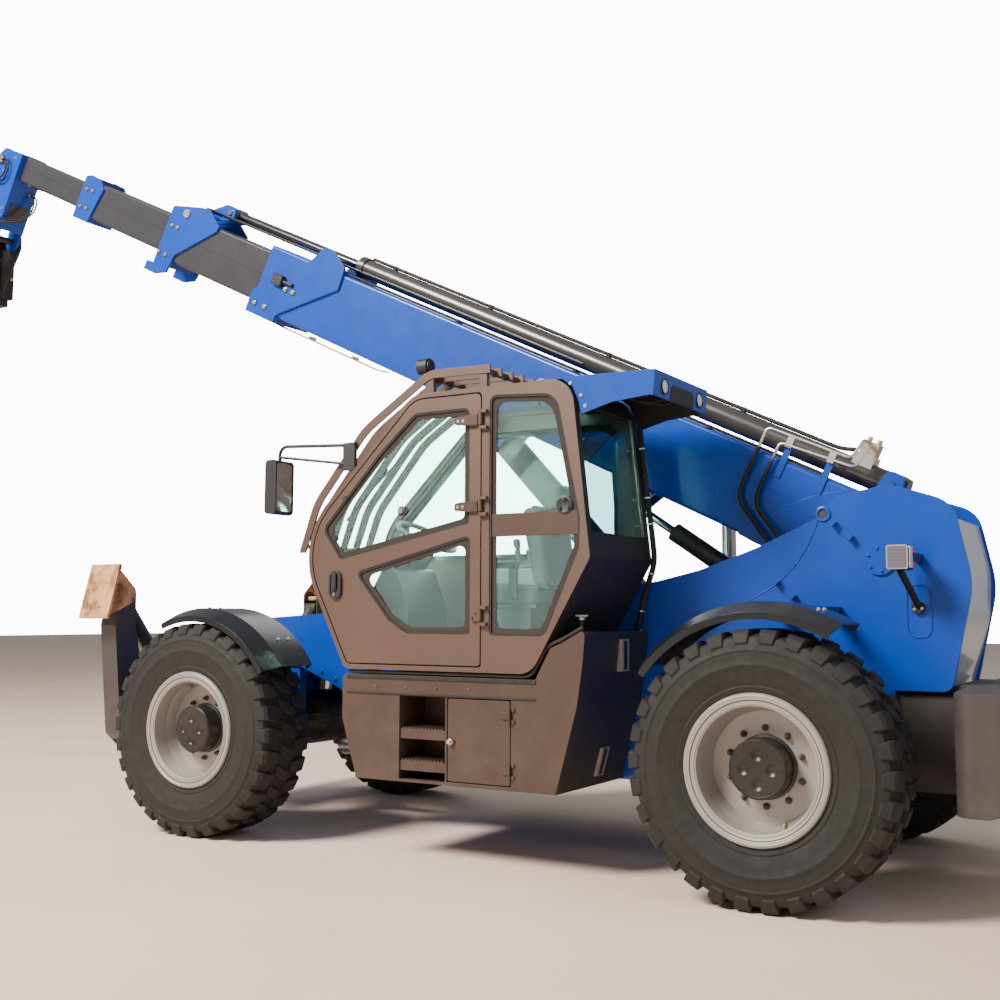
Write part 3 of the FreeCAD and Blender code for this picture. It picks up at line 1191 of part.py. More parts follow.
def rear_lamps():
    """Tail lamps on their arms behind the cover, left and right."""
    made = Body("tail_lamp_left")
    made.pad("XZ", 600, 130, box_outline(-600, -490, 1648, 1776, 18))
    arm = Body("tail_lamp_arm")
    arm.pad("XZ", (d.plate_side + 605) / 2, 605 - d.plate_side, box_outline(-610, -580, 1690, 1735))
    left = joined("tail_lamp_whole", [made.body, arm.body])
    return at_home(gathered("tail_lamp_pair", [left, mirrored(left, "tail_lamp_right")]), "tail_lamps")


def exhaust():
    x, y, radius = d.exhaust_station, d.exhaust_side, d.exhaust_radius
    stack = Body("exhaust_stack")
    middle = (d.exhaust_top + 800) / 2
    stack.pad("XY", middle, d.exhaust_top - 800, circles=[(x, y, radius), (x, y, radius - 5)])
    stack.pad("XY", 1120, 560, circles=[(x, y, radius + 12), (x, y, radius - 2)])
    for z in (900, 1150):
        stack.pad("XY", z, 30, box_outline(x + radius, d.pod_rear - d.seat_gap, y - 20, y + 20))
    return at_home(stack.body, "exhaust")


def boom_hydraulics():
    """Valve block on the extension cylinder, its steel pipes over the boom and the hoses into the tower."""
    line, radius = float(d.ram_line), float(d.ram_radius)
    saddle = Body("valve_saddle")
    saddle.pad("YZ", 395, 120, [(-60, line + 20), (60, line + 20), (60, line + 108), (-60, line + 108)])
    saddle.cut("YZ", 395, 130, circles=[(0, line, radius + d.seat_gap)])
    saddle.pad("YZ", 395, 96, box_outline(-46, 46, line + 106, line + 186, 5))
    for x in (365, 425):
        saddle.pad("XY", line + 196, 30, circles=[(x, 0, 16)])
    runs = (
        [(412, 40, 560), (412, 150, 560), (420, 205, 440), (940, 215, 425), (940, 215, 300)],
        [(372, 40, 540), (372, 120, 540), (380, 205, 400), (835, 215, 370), (835, 215, 240)])
    pieces = [saddle.body] + [tube("boom_pipe", run, 9, 32) for run in runs]
    for x, z in ((500, 420), (760, 410)):
        clip = doc.addObject("Part::Box", "pipe_clip")
        clip.Length, clip.Width, clip.Height = 40, 32, 70
        clip.Placement.Base = V(x, 185.3, z - 48)
        pieces.append(clip)
        foot = doc.addObject("Part::Box", "pipe_clip_foot")
        foot.Length, foot.Width, foot.Height = 40, 8, z - 210
        foot.Placement.Base = V(x, 185.3, 180)
        pieces.append(foot)
    hoses = (
        [(940, 215, 302), (940, 215, -20), (560, 240, -230), (60, 245, -150)],
        [(835, 215, 242), (835, 215, -10), (520, 262, -170), (60, 270, -90)])
    pieces += [tube("boom_hose", run, 13, 130) for run in hoses]
    return on_boom(joined("boom_hydraulics_whole", pieces), "boom_hydraulics")


def leg_cylinders():
    """The cylinder inside each stabiliser leg: barrel pinned high on the leg, rod pinned to the beam."""
    top_y, top_z = d.leg_ram_top_side, d.leg_ram_top_height
    length, rise = between(d.leg_ram_foot_side, d.leg_ram_foot_height, top_y, top_z)
    pin, half = d.pad_pin_radius, d.leg_width / 2 - d.leg_wall - d.move_gap
    for name, sign in (("left", 1), ("right", -1)):
        barrel = ram_barrel("leg_barrel_" + name, d.leg_ram_radius, d.leg_ram_bore, d.leg_ram_length,
                            d.leg_rod_radius, pin, size(42), half)
        rod = ram_rod("leg_rod_" + name, d.leg_rod_radius, size(length) - d.leg_rod_length, size(length), pin,
                      size(34), size(28), size(34))
        turn = FreeCAD.Rotation(V(0, 0, 1), -90 * sign) * FreeCAD.Rotation(V(0, 1, 0), rise)
        for piece, label in ((barrel, "stabiliser_barrel_"), (rod, "stabiliser_rod_")):
            place(piece, origin_shift + d.leg_station, sign * top_y, top_z)
            piece.Placement.Rotation = turn
            sub_part(piece, label + name)


frame_plates()
frame_centre()
rear_cover()
counterweight()
axles()
corner_wheels()
fenders()
boom_section_1()
boom_section_2()
boom_section_3()
boom_section_4()
extension_ram()
lift_cylinder()
level_cylinder()
tilt_ram()
fork_carriage()
boom_hydraulics()
cab_shell()
cab_glazing()
cab_door()
cab_inside()
cab_guard()
rear_visor()
mirror()
step_box()
locker_door()
engine_side()
exhaust()
rear_lamps()
stabilisers()
leg_cylinders()

doc.recompute()
for item in doc.Objects:
    if "Invalid" in item.State or "Error" in item.State:
        raise RuntimeError("%s: %s" % (item.Name, item.State))
for piece in sub_parts:
    if piece.Shape.isNull() or not piece.Shape.isValid() or not piece.Shape.Solids:
        raise RuntimeError("%s has no valid solid" % piece.Label)
    piece.Shape.exportStep("parts/%s.step" % piece.Label)
    print("%-26s %2d solids %8.1f litres" % (piece.Label, len(piece.Shape.Solids), piece.Shape.Volume / 1e6))
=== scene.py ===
"""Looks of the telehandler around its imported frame. Metres, +X forward, +Y to the machine's left, +Z up.

Stations are distances ahead of the rear axle, as in the part's source; the boom's own coordinates run along it
from its pivot and square above it.
"""

import json
import math
import random

import bmesh
import bpy
from mathutils import Matrix, Vector


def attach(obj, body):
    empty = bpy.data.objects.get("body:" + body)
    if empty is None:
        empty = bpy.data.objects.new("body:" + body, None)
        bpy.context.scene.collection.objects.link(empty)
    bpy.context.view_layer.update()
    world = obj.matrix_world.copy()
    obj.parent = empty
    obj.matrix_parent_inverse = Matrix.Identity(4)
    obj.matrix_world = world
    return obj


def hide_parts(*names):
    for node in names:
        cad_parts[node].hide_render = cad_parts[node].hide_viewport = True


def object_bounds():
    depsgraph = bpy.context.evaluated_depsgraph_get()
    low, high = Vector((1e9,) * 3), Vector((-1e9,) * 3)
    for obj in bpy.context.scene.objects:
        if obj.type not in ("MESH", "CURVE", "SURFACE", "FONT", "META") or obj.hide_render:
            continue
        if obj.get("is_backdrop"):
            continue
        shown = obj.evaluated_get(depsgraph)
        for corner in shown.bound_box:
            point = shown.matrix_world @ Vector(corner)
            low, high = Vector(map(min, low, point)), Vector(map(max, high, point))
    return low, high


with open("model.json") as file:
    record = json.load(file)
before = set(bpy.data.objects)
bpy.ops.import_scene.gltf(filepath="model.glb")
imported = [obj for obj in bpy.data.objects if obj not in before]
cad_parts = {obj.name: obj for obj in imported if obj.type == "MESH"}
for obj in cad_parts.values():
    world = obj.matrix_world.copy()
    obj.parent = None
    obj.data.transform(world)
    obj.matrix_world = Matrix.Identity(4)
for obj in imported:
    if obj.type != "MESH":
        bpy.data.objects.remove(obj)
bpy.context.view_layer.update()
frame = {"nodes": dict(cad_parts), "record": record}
nodes = frame["nodes"]
random.seed(7)

# Places shared with the part's source
BOOM_ANGLE = math.radians(25.7)
PIVOT = (-0.390, 1.712)
COUPLER = (8.560, -0.640)
WHEELBASE = 3.750
HALF_TRACK = 1.102
AXLE_HEIGHT = 0.675
COUNTERWEIGHT_REAR = -1.400
FORK_REACH = 1.450
ALONG = Vector((math.cos(BOOM_ANGLE), 0, math.sin(BOOM_ANGLE)))
ABOVE = Vector((-math.sin(BOOM_ANGLE), 0, math.cos(BOOM_ANGLE)))
COUPLER_STATION = PIVOT[0] + ALONG.x * COUPLER[0] + ABOVE.x * COUPLER[1]
SHIFT = -(COUPLER_STATION + FORK_REACH + COUNTERWEIGHT_REAR) / 2
LEFT, UP, AHEAD = Vector((0, 1, 0)), Vector((0, 0, 1)), Vector((1, 0, 0))
CAB_SIDE = 1.220
GLASS_SIDE = CAB_SIDE - 0.014


def at(station, side, height):
    return Vector((station + SHIFT, side, height))


def on_boom(along, side, above):
    return at(PIVOT[0], side, PIVOT[1]) + ALONG * along + ABOVE * above


# ---------------------------------------------------------------- materials


class Nodes:
    """A material's node tree, with short names for what every finish here uses."""

    def __init__(self, name):
        self.material = bpy.data.materials.new(name)
        self.material.use_nodes = True
        self.tree = self.material.node_tree
        self.tree.nodes.clear()
        self.coordinates = self.add("ShaderNodeTexCoord").outputs["Object"]

    def add(self, kind, **settings):
        node = self.tree.nodes.new(kind)
        for key, value in settings.items():
            setattr(node, key, value)
        return node

    def link(self, source, target):
        self.tree.links.new(source, target)

    def noise(self, scale, detail=3.0, stretch=None, low=0.35, high=0.65):
        """Noise spread to 0..1 between low and high."""
        texture = self.add("ShaderNodeTexNoise")
        texture.inputs["Scale"].default_value = scale
        texture.inputs["Detail"].default_value = detail
        where = self.coordinates
        if stretch:
            mapping = self.add("ShaderNodeMapping")
            mapping.inputs["Scale"].default_value = stretch
            self.link(where, mapping.inputs["Vector"])
            where = mapping.outputs["Vector"]
        self.link(where, texture.inputs["Vector"])
        return self.spread(texture.outputs["Fac"], low, high, 0, 1)

    def spread(self, value, from_low, from_high, to_low, to_high):
        ranged = self.add("ShaderNodeMapRange")
        self.link(value, ranged.inputs["Value"])
        for key, number in zip(("From Min", "From Max", "To Min", "To Max"), (from_low, from_high, to_low, to_high)):
            ranged.inputs[key].default_value = number
        return ranged.outputs["Result"]

    def times(self, first, second):
        node = self.add("ShaderNodeMath", operation="MULTIPLY")
        for socket, value in zip(node.inputs, (first, second)):
            if isinstance(value, (int, float)):
                socket.default_value = value
            else:
                self.link(value, socket)
        return node.outputs[0]

    def mix(self, factor, first, second):
        node = self.add("ShaderNodeMix", data_type="RGBA")
        self.link(factor, node.inputs["Factor"])
        for socket, value in ((node.inputs[6], first), (node.inputs[7], second)):
            if isinstance(value, tuple):
                socket.default_value = (*value, 1)
            else:
                self.link(value, socket)
        return node.outputs[2]

    def height(self, low, high):
        """1 below the low height, 0 above the high one."""
        parts = self.add("ShaderNodeSeparateXYZ")
        self.link(self.coordinates, parts.inputs[0])
        return self.spread(parts.outputs["Z"], low, high, 1, 0)

    def bump(self, height, strength, distance, under=None):
        node = self.add("ShaderNodeBump")
        node.inputs["Strength"].default_value = strength
        node.inputs["Distance"].default_value = distance
        self.link(height, node.inputs["Height"])
        if under is not None:
            self.link(under, node.inputs["Normal"])
        return node.outputs["Normal"]

    def shade(self, colour, roughness, normal=None, **constants):
        shader = self.add("ShaderNodeBsdfPrincipled")
        for key, value in (("Base Color", colour), ("Roughness", roughness)):
            if isinstance(value, tuple):
                shader.inputs[key].default_value = (*value, 1)
            elif isinstance(value, (int, float)):
                shader.inputs[key].default_value = value
            else:
                self.link(value, shader.inputs[key])
        if normal is not None:
            self.link(normal, shader.inputs["Normal"])
        for key, value in constants.items():
            shader.inputs[key.replace("_", " ")].default_value = value
        output = self.add("ShaderNodeOutputMaterial")
        self.link(shader.outputs[0], output.inputs["Surface"])
        self.shader, self.output = shader, output
        return self.material


def scaled(colour, factor):
    return tuple(min(channel * factor, 1.0) for channel in colour)


DUST = (0.34, 0.29, 0.24)


def finish(name, colour, roughness, spread=0.12, grain=2.5, texture=900, texture_depth=0.12, dust=0.25,
           dust_top=1.3, edge=0.003, fold=None, **constants):
    """Paint, plastic or cast metal: slow colour drift, fine texture, dust that thins with height, soft edges.

    A fold is a thin pressed line in the plane square to a direction, at a distance along it.
    """
    made = Nodes(name)
    drift = made.noise(grain, 4)
    tone = made.mix(drift, scaled(colour, 1 - spread), scaled(colour, 1 + spread))
    patches = made.noise(7, 3, low=0.35, high=0.8)
    film = made.times(made.times(patches, made.height(0.25, dust_top)), dust)
    tone = made.mix(film, tone, DUST)
    if fold:
        reach = made.add("ShaderNodeVectorMath", operation="DOT_PRODUCT")
        made.link(made.coordinates, reach.inputs[0])
        reach.inputs[1].default_value = fold[0]
        away = made.add("ShaderNodeMath", operation="ABSOLUTE")
        made.link(made.spread(reach.outputs["Value"], fold[1] - 0.01, fold[1] + 0.01, -0.01, 0.01), away.inputs[0])
        tone = made.mix(made.spread(away.outputs[0], 0.001, 0.003, 0.75, 0), tone, scaled(colour, 0.25))
    rough = made.spread(made.noise(9, 2, low=0.2, high=0.8), 0, 1, max(roughness - 0.03, 0.02), min(roughness + 0.04, 1))
    rounded_edge = None
    if edge:
        bevel = made.add("ShaderNodeBevel", samples=3)
        bevel.inputs["Radius"].default_value = edge
        rounded_edge = bevel.outputs[0]
    normal = made.bump(made.noise(texture, 2), texture_depth, 0.001, rounded_edge)
    return made.shade(tone, rough, normal, **constants)


def glass(name, tint, share=0.0):
    """Tinted pane that lets lamp light through to what is behind it."""
    made = Nodes(name)
    smear = made.noise(5, 5, low=0.45, high=0.8)
    rough = made.spread(smear, 0, 1, 0.01, 0.05)
    material = made.shade(tint, rough, made.bump(made.noise(3, 1), 0.05, 0.002), Transmission_Weight=1.0, IOR=1.3)
    path = made.add("ShaderNodeLightPath")
    clear = made.add("ShaderNodeBsdfTransparent")
    clear.inputs["Color"].default_value = (*tint, 1)
    chosen = made.add("ShaderNodeMixShader")
    made.link(path.outputs["Is Shadow Ray"], chosen.inputs[0])
    made.link(made.shader.outputs[0], chosen.inputs[1])
    made.link(clear.outputs[0], chosen.inputs[2])
    made.link(chosen.outputs[0], made.output.inputs["Surface"])
    return material


def rust(name, paint, amount):
    """Worn paint over rust: the metal shows in blotches, streaked downwards."""
    made = Nodes(name)
    blotch = made.noise(9, 8, low=0.5 - amount / 2, high=0.62)
    fine = made.noise(60, 6)
    metal = made.mix(fine, (0.20, 0.075, 0.03), (0.42, 0.19, 0.08))
    tone = made.mix(blotch, paint, metal)
    rough = made.spread(blotch, 0, 1, 0.5, 0.85)
    return made.shade(tone, rough, made.bump(made.noise(140, 5), 0.3, 0.001), Metallic=0.2)


def rubber(name, colour, dusty):
    made = Nodes(name)
    drift = made.noise(3, 3)
    tone = made.mix(drift, scaled(colour, 0.94), scaled(colour, 1.08))
    tone = made.mix(made.times(made.noise(16, 8, low=0.4, high=0.75), dusty), tone, DUST)
    rough = made.spread(made.noise(22, 3), 0, 1, 0.70, 0.80)
    return made.shade(tone, rough, made.bump(made.noise(260, 4), 0.25, 0.0012))


def cloth(name, colour):
    """Woven seat cloth: two crossed sets of threads."""
    made = Nodes(name)
    threads = []
    for direction in ("X", "Z"):
        wave = made.add("ShaderNodeTexWave", bands_direction=direction)
        wave.inputs["Scale"].default_value = 260
        wave.inputs["Distortion"].default_value = 0.6
        made.link(made.coordinates, wave.inputs["Vector"])
        threads.append(wave.outputs["Fac"])
    weave = made.times(*threads)
    tone = made.mix(weave, scaled(colour, 0.7), scaled(colour, 1.6))
    return made.shade(tone, 0.9, made.bump(weave, 0.5, 0.0015), Sheen_Weight=0.3)


def metal(name, colour, roughness, brushed=0.0):
    made = Nodes(name)
    drift = made.noise(6, 4)
    tone = made.mix(drift, scaled(colour, 0.86), colour)
    stretch = (3, 160, 160) if brushed else None
    lines = made.noise(30 if brushed else 300, 3, stretch)
    rough = made.spread(lines, 0, 1, roughness, roughness + 0.12)
    return made.shade(tone, rough, made.bump(lines, 0.05 + brushed, 0.0005), Metallic=1.0)


def lamp_lens(name, colour, ridges=320):
    """Ribbed lens over a bright reflector."""
    made = Nodes(name)
    wave = made.add("ShaderNodeTexWave", bands_direction="Z")
    wave.inputs["Scale"].default_value = ridges
    made.link(made.coordinates, wave.inputs["Vector"])
    tone = made.mix(wave.outputs["Fac"], scaled(colour, 0.8), colour)
    return made.shade(tone, 0.08, made.bump(wave.outputs["Fac"], 0.4, 0.001), Coat_Weight=1.0)


BLUE = finish("royal_blue_paint", (0.0010, 0.054, 0.40), 0.30, spread=0.03, texture=260, texture_depth=0.03,
              dust=0.003, dust_top=1.6, Coat_Weight=0.18, Coat_Roughness=0.06)
TAUPE = finish("taupe_paint", (0.122, 0.074, 0.056), 0.40, spread=0.05, texture=1100, texture_depth=0.2,
               dust=0.12, Metallic=0.3)
# Painted shade: the dark copy of the cab's taupe, given to rear-facing facets that stand in shadow
REAR_PAINTED_SHADE = finish("rear_facets_painted_shade", (0.026, 0.023, 0.024), 0.40, spread=0.05, texture=1100, texture_depth=0.2,
                  dust=0.03)
STEP_TAUPE = finish("step_box_paint", (0.076, 0.045, 0.034), 0.42, spread=0.05, texture=1100, texture_depth=0.2,
                    dust=0.15, Metallic=0.3)
CHARCOAL = finish("charcoal_paint", (0.052, 0.046, 0.043), 0.45, spread=0.08, texture=900, texture_depth=0.25,
                  dust=0.15)
BOOM_GREY = finish("boom_grey_paint", (0.038, 0.037, 0.043), 0.30, spread=0.06, texture=500, texture_depth=0.1,
                   dust=0.0, fold=(tuple(ABOVE), ABOVE.dot(at(PIVOT[0], 0, PIVOT[1])) + 0.050), Coat_Weight=0.35)
CYLINDER = finish("cylinder_paint", (0.048, 0.042, 0.041), 0.28, spread=0.06, texture=600, texture_depth=0.06,
                  dust=0.0, Coat_Weight=0.4)
WEIGHT = finish("cast_textured_paint", (0.046, 0.038, 0.036), 0.5, spread=0.08, texture=210, texture_depth=0.5,
                dust=0.12, edge=0.008)
COVER = finish("pale_cover_paint", (0.46, 0.52, 0.62), 0.22, spread=0.03, texture=240, texture_depth=0.04,
               dust=0.08, Coat_Weight=0.6)
FENDER = finish("moulded_fender_plastic", (0.011, 0.012, 0.014), 0.24, spread=0.06, texture=700,
                texture_depth=0.04, dust=0.015, dust_top=1.9)
BLACK = finish("black_paint", (0.020, 0.019, 0.019), 0.38, spread=0.15, texture=500, texture_depth=0.1, dust=0.25)
PLASTIC = finish("black_moulded_plastic", (0.016, 0.016, 0.017), 0.42, spread=0.15, texture=1300,
                 texture_depth=0.3, dust=0.05, edge=0.002)
DASH = finish("grey_moulded_plastic", (0.16, 0.16, 0.155), 0.5, spread=0.08, texture=1300, texture_depth=0.35,
              dust=0.0)
RIM = finish("pale_rim_paint", (0.36, 0.335, 0.315), 0.38, spread=0.06, texture=420, texture_depth=0.25, dust=0.18,
             dust_top=1.2, Metallic=0.35)
HUB = finish("black_hub_paint", (0.012, 0.010, 0.0095), 0.36, spread=0.1, texture=240, texture_depth=0.1, dust=0.03,
             dust_top=1.2)
IRON = finish("cast_engine_iron", (0.10, 0.10, 0.10), 0.6, spread=0.2, texture=160, texture_depth=0.6, dust=0.2)
LEG = finish("dark_leg_paint", (0.048, 0.041, 0.040), 0.38, spread=0.08, texture=900, texture_depth=0.2, dust=0.1)
TYRE = rubber("tyre_rubber", (0.0108, 0.0091, 0.0084), 0.008)
FRIT = finish("glass_border_enamel", (0.050, 0.038, 0.031), 0.16, spread=0.03, texture=1500, texture_depth=0.03,
              dust=0.01, edge=0, Coat_Weight=0.5)
SEAL = rubber("black_seal_rubber", (0.014, 0.014, 0.014), 0.03)
HOSE = rubber("hose_rubber", (0.012, 0.012, 0.013), 0.02)
CHROME = metal("polished_chrome", (0.82, 0.83, 0.85), 0.06)
DARK_ROD = metal("dark_plated_rod", (0.27, 0.26, 0.26), 0.10)
STEEL = metal("brushed_steel", (0.60, 0.59, 0.57), 0.24, 0.06)
ZINC = metal("zinc_plated_steel", (0.72, 0.70, 0.67), 0.28)
BRASS = metal("aged_brass", (0.66, 0.54, 0.33), 0.30)
PAD_RUST = rust("rusted_orange_pad", (0.68, 0.37, 0.18), 0.10)
NUT_RUST = finish("weathered_nut_steel", (0.105, 0.080, 0.062), 0.5, spread=0.1, texture=500, texture_depth=0.5,
                  dust=0.05, Metallic=0.3)
FORK = rust("worn_fork_steel", (0.035, 0.032, 0.031), 0.04)
WINDOW = glass("green_tinted_glass", (0.62, 0.86, 0.79))
REAR_WINDOW = glass("dark_tinted_glass", (0.16, 0.30, 0.31))
SEAT_CLOTH = cloth("grey_seat_cloth", (0.15, 0.145, 0.135))
SILVER_LENS = lamp_lens("silver_lamp_lens", (0.17, 0.15, 0.19), 18)
WHITE_LENS = lamp_lens("clear_lamp_lens", (0.85, 0.86, 0.86))
RED_LENS = lamp_lens("red_lamp_lens", (0.55, 0.02, 0.015))
AMBER_LENS = lamp_lens("amber_lamp_lens", (0.85, 0.28, 0.02))
MIRROR_FACE = metal("mirror_glass", (0.82, 0.86, 0.88), 0.02)

SLOT_FINISH = {
    "chassis_blue": BLUE, "cover_grey": COVER, "counterweight_grey": WEIGHT, "axle_black": BLACK,
    "fender_plastic": FENDER, "cab_taupe": TAUPE, "tinted_glass": WINDOW, "seat_cloth": SEAT_CLOTH,
    "interior_plastic": PLASTIC, "engine_charcoal": CHARCOAL, "engine_iron": IRON, "exhaust_steel": STEEL,
    "lamp_plastic": PLASTIC, "pipe_steel": ZINC, "cylinder_grey": CYLINDER, "rod_chrome": CHROME,
    "boom_grey": BOOM_GREY, "carriage_black": BLACK, "fork_steel": FORK, "pad_orange": PAD_RUST,
    "rim_grey": RIM, "tyre_rubber": TYRE}

for part in frame["record"]["subparts"]:
    mesh = nodes[part["node"]].data
    mesh.materials.clear()
    mesh.materials.append(SLOT_FINISH[part["material_slot"]])


def paint_faces(node, material, chosen):
    """Give the faces of a node that the test picks a second finish."""
    mesh = nodes[node].data
    mesh.materials.append(material)
    index = len(mesh.materials) - 1
    for face in mesh.polygons:
        if chosen(face.center, face.normal):
            face.material_index = index


def beside_boom(point):
    """A point of the frame as distances along the boom, to its left and above its pivot's line."""
    away = point - at(PIVOT[0], 0, PIVOT[1])
    return away.dot(ALONG), away.y, away.dot(ABOVE)


def collar(start, half_width, low, high):
    """A test for the faces of a boom section's collar, lugs and under-plates, which stand proud of its tube."""

    def chosen(centre, normal):
        along, side, above = beside_boom(centre)
        return along > start and (abs(side) > half_width + 0.0015 or above > high + 0.0015 or above < low - 0.0015)

    return chosen


def head_plate(centre, normal):
    along, side, above = beside_boom(centre)
    return along < 8.4775 and along > 8.4 and abs(side) < 0.0855 and -0.4335 < above < -0.290


paint_faces("boom_section_2", BLUE, collar(5.70, 0.150, -0.163, 0.239))
paint_faces("boom_section_3", BLUE, collar(7.20, 0.115, -0.1205, 0.1965))
paint_faces("boom_section_4", BLUE, lambda c, n: beside_boom(c)[0] > 8.4705)
paint_faces("boom_section_4", BOOM_GREY, head_plate)
paint_faces("boom_hydraulics", HOSE, lambda c, n: beside_boom(c)[1] > 0.195 and beside_boom(c)[2] < 0.302)
paint_faces("boom_hydraulics", BRASS, lambda c, n: beside_boom(c)[0] < 0.46 and abs(beside_boom(c)[1]) < 0.0465
            and beside_boom(c)[2] > 0.488)
paint_faces("boom_hydraulics", BLUE, lambda c, n: beside_boom(c)[2] < 0.36 and beside_boom(c)[1] < 0.1936
            and 0.49 < beside_boom(c)[0] < 0.81)
paint_faces("extension_cylinder_rod", DARK_ROD, lambda c, n: abs(beside_boom(c)[1]) < 0.0445)
for side in ("left", "right"):
    paint_faces("stabiliser_leg_" + side, LEG, lambda c, n: True)
    paint_faces("stabiliser_barrel_" + side, LEG, lambda c, n: True)
paint_faces("stabiliser_beam", LEG, lambda c, n: True)
for node in ("step_box", "locker_door"):
    paint_faces(node, STEP_TAUPE, lambda c, n: True)
# Painted shade: rear-facing faces of the step box and lower cab take the dark finish because they face away from the
# light
paint_faces("step_box", REAR_PAINTED_SHADE, lambda c, n: n.x < -0.2 and c.x - SHIFT < 1.16)
paint_faces("cab_shell", REAR_PAINTED_SHADE, lambda c, n: n.x < -0.2 and c.x - SHIFT < 1.32)
paint_faces("cab_glazing", REAR_WINDOW, lambda c, n: c.x - SHIFT < 1.12 and 0.48 < c.y < 1.16 and c.z < 2.56)


# ---------------------------------------------------------------- shapes


def tangent_frame(axis):
    axis = axis.normalized()
    first = axis.orthogonal().normalized()
    return first, axis.cross(first)


def rounded(corners, steps=6):
    """Points of an outline of (x, z) or (x, z, radius), anticlockwise."""
    points = []
    count = len(corners)
    for index, corner in enumerate(corners):
        here = Vector(corner[:2])
        if len(corner) < 3:
            points.append(here)
            continue
        back = (Vector(corners[index - 1][:2]) - here).normalized()
        ahead = (Vector(corners[(index + 1) % count][:2]) - here).normalized()
        half = back.angle(ahead) / 2
        reach = corner[2] / math.tan(half)
        centre = here + (back + ahead).normalized() * (corner[2] / math.sin(half))
        start, end = here + back * reach - centre, here + ahead * reach - centre
        turn = start.angle_signed(end)
        for step in range(steps + 1):
            angle = -turn * step / steps
            points.append(centre + Vector((start.x * math.cos(angle) - start.y * math.sin(angle),
                                           start.x * math.sin(angle) + start.y * math.cos(angle))))
    return points


def moved_in(points, gap):
    """The same closed outline inside itself by a gap, or outside for a negative one."""
    moved = []
    for index, here in enumerate(points):
        came = (here - points[index - 1]).normalized()
        goes = (points[(index + 1) % len(points)] - here).normalized()
        first, second = Vector((-came.y, came.x)), Vector((-goes.y, goes.x))
        moved.append(here + (first + second) * (gap / (1 + max(first.dot(second), -0.6))))
    return moved


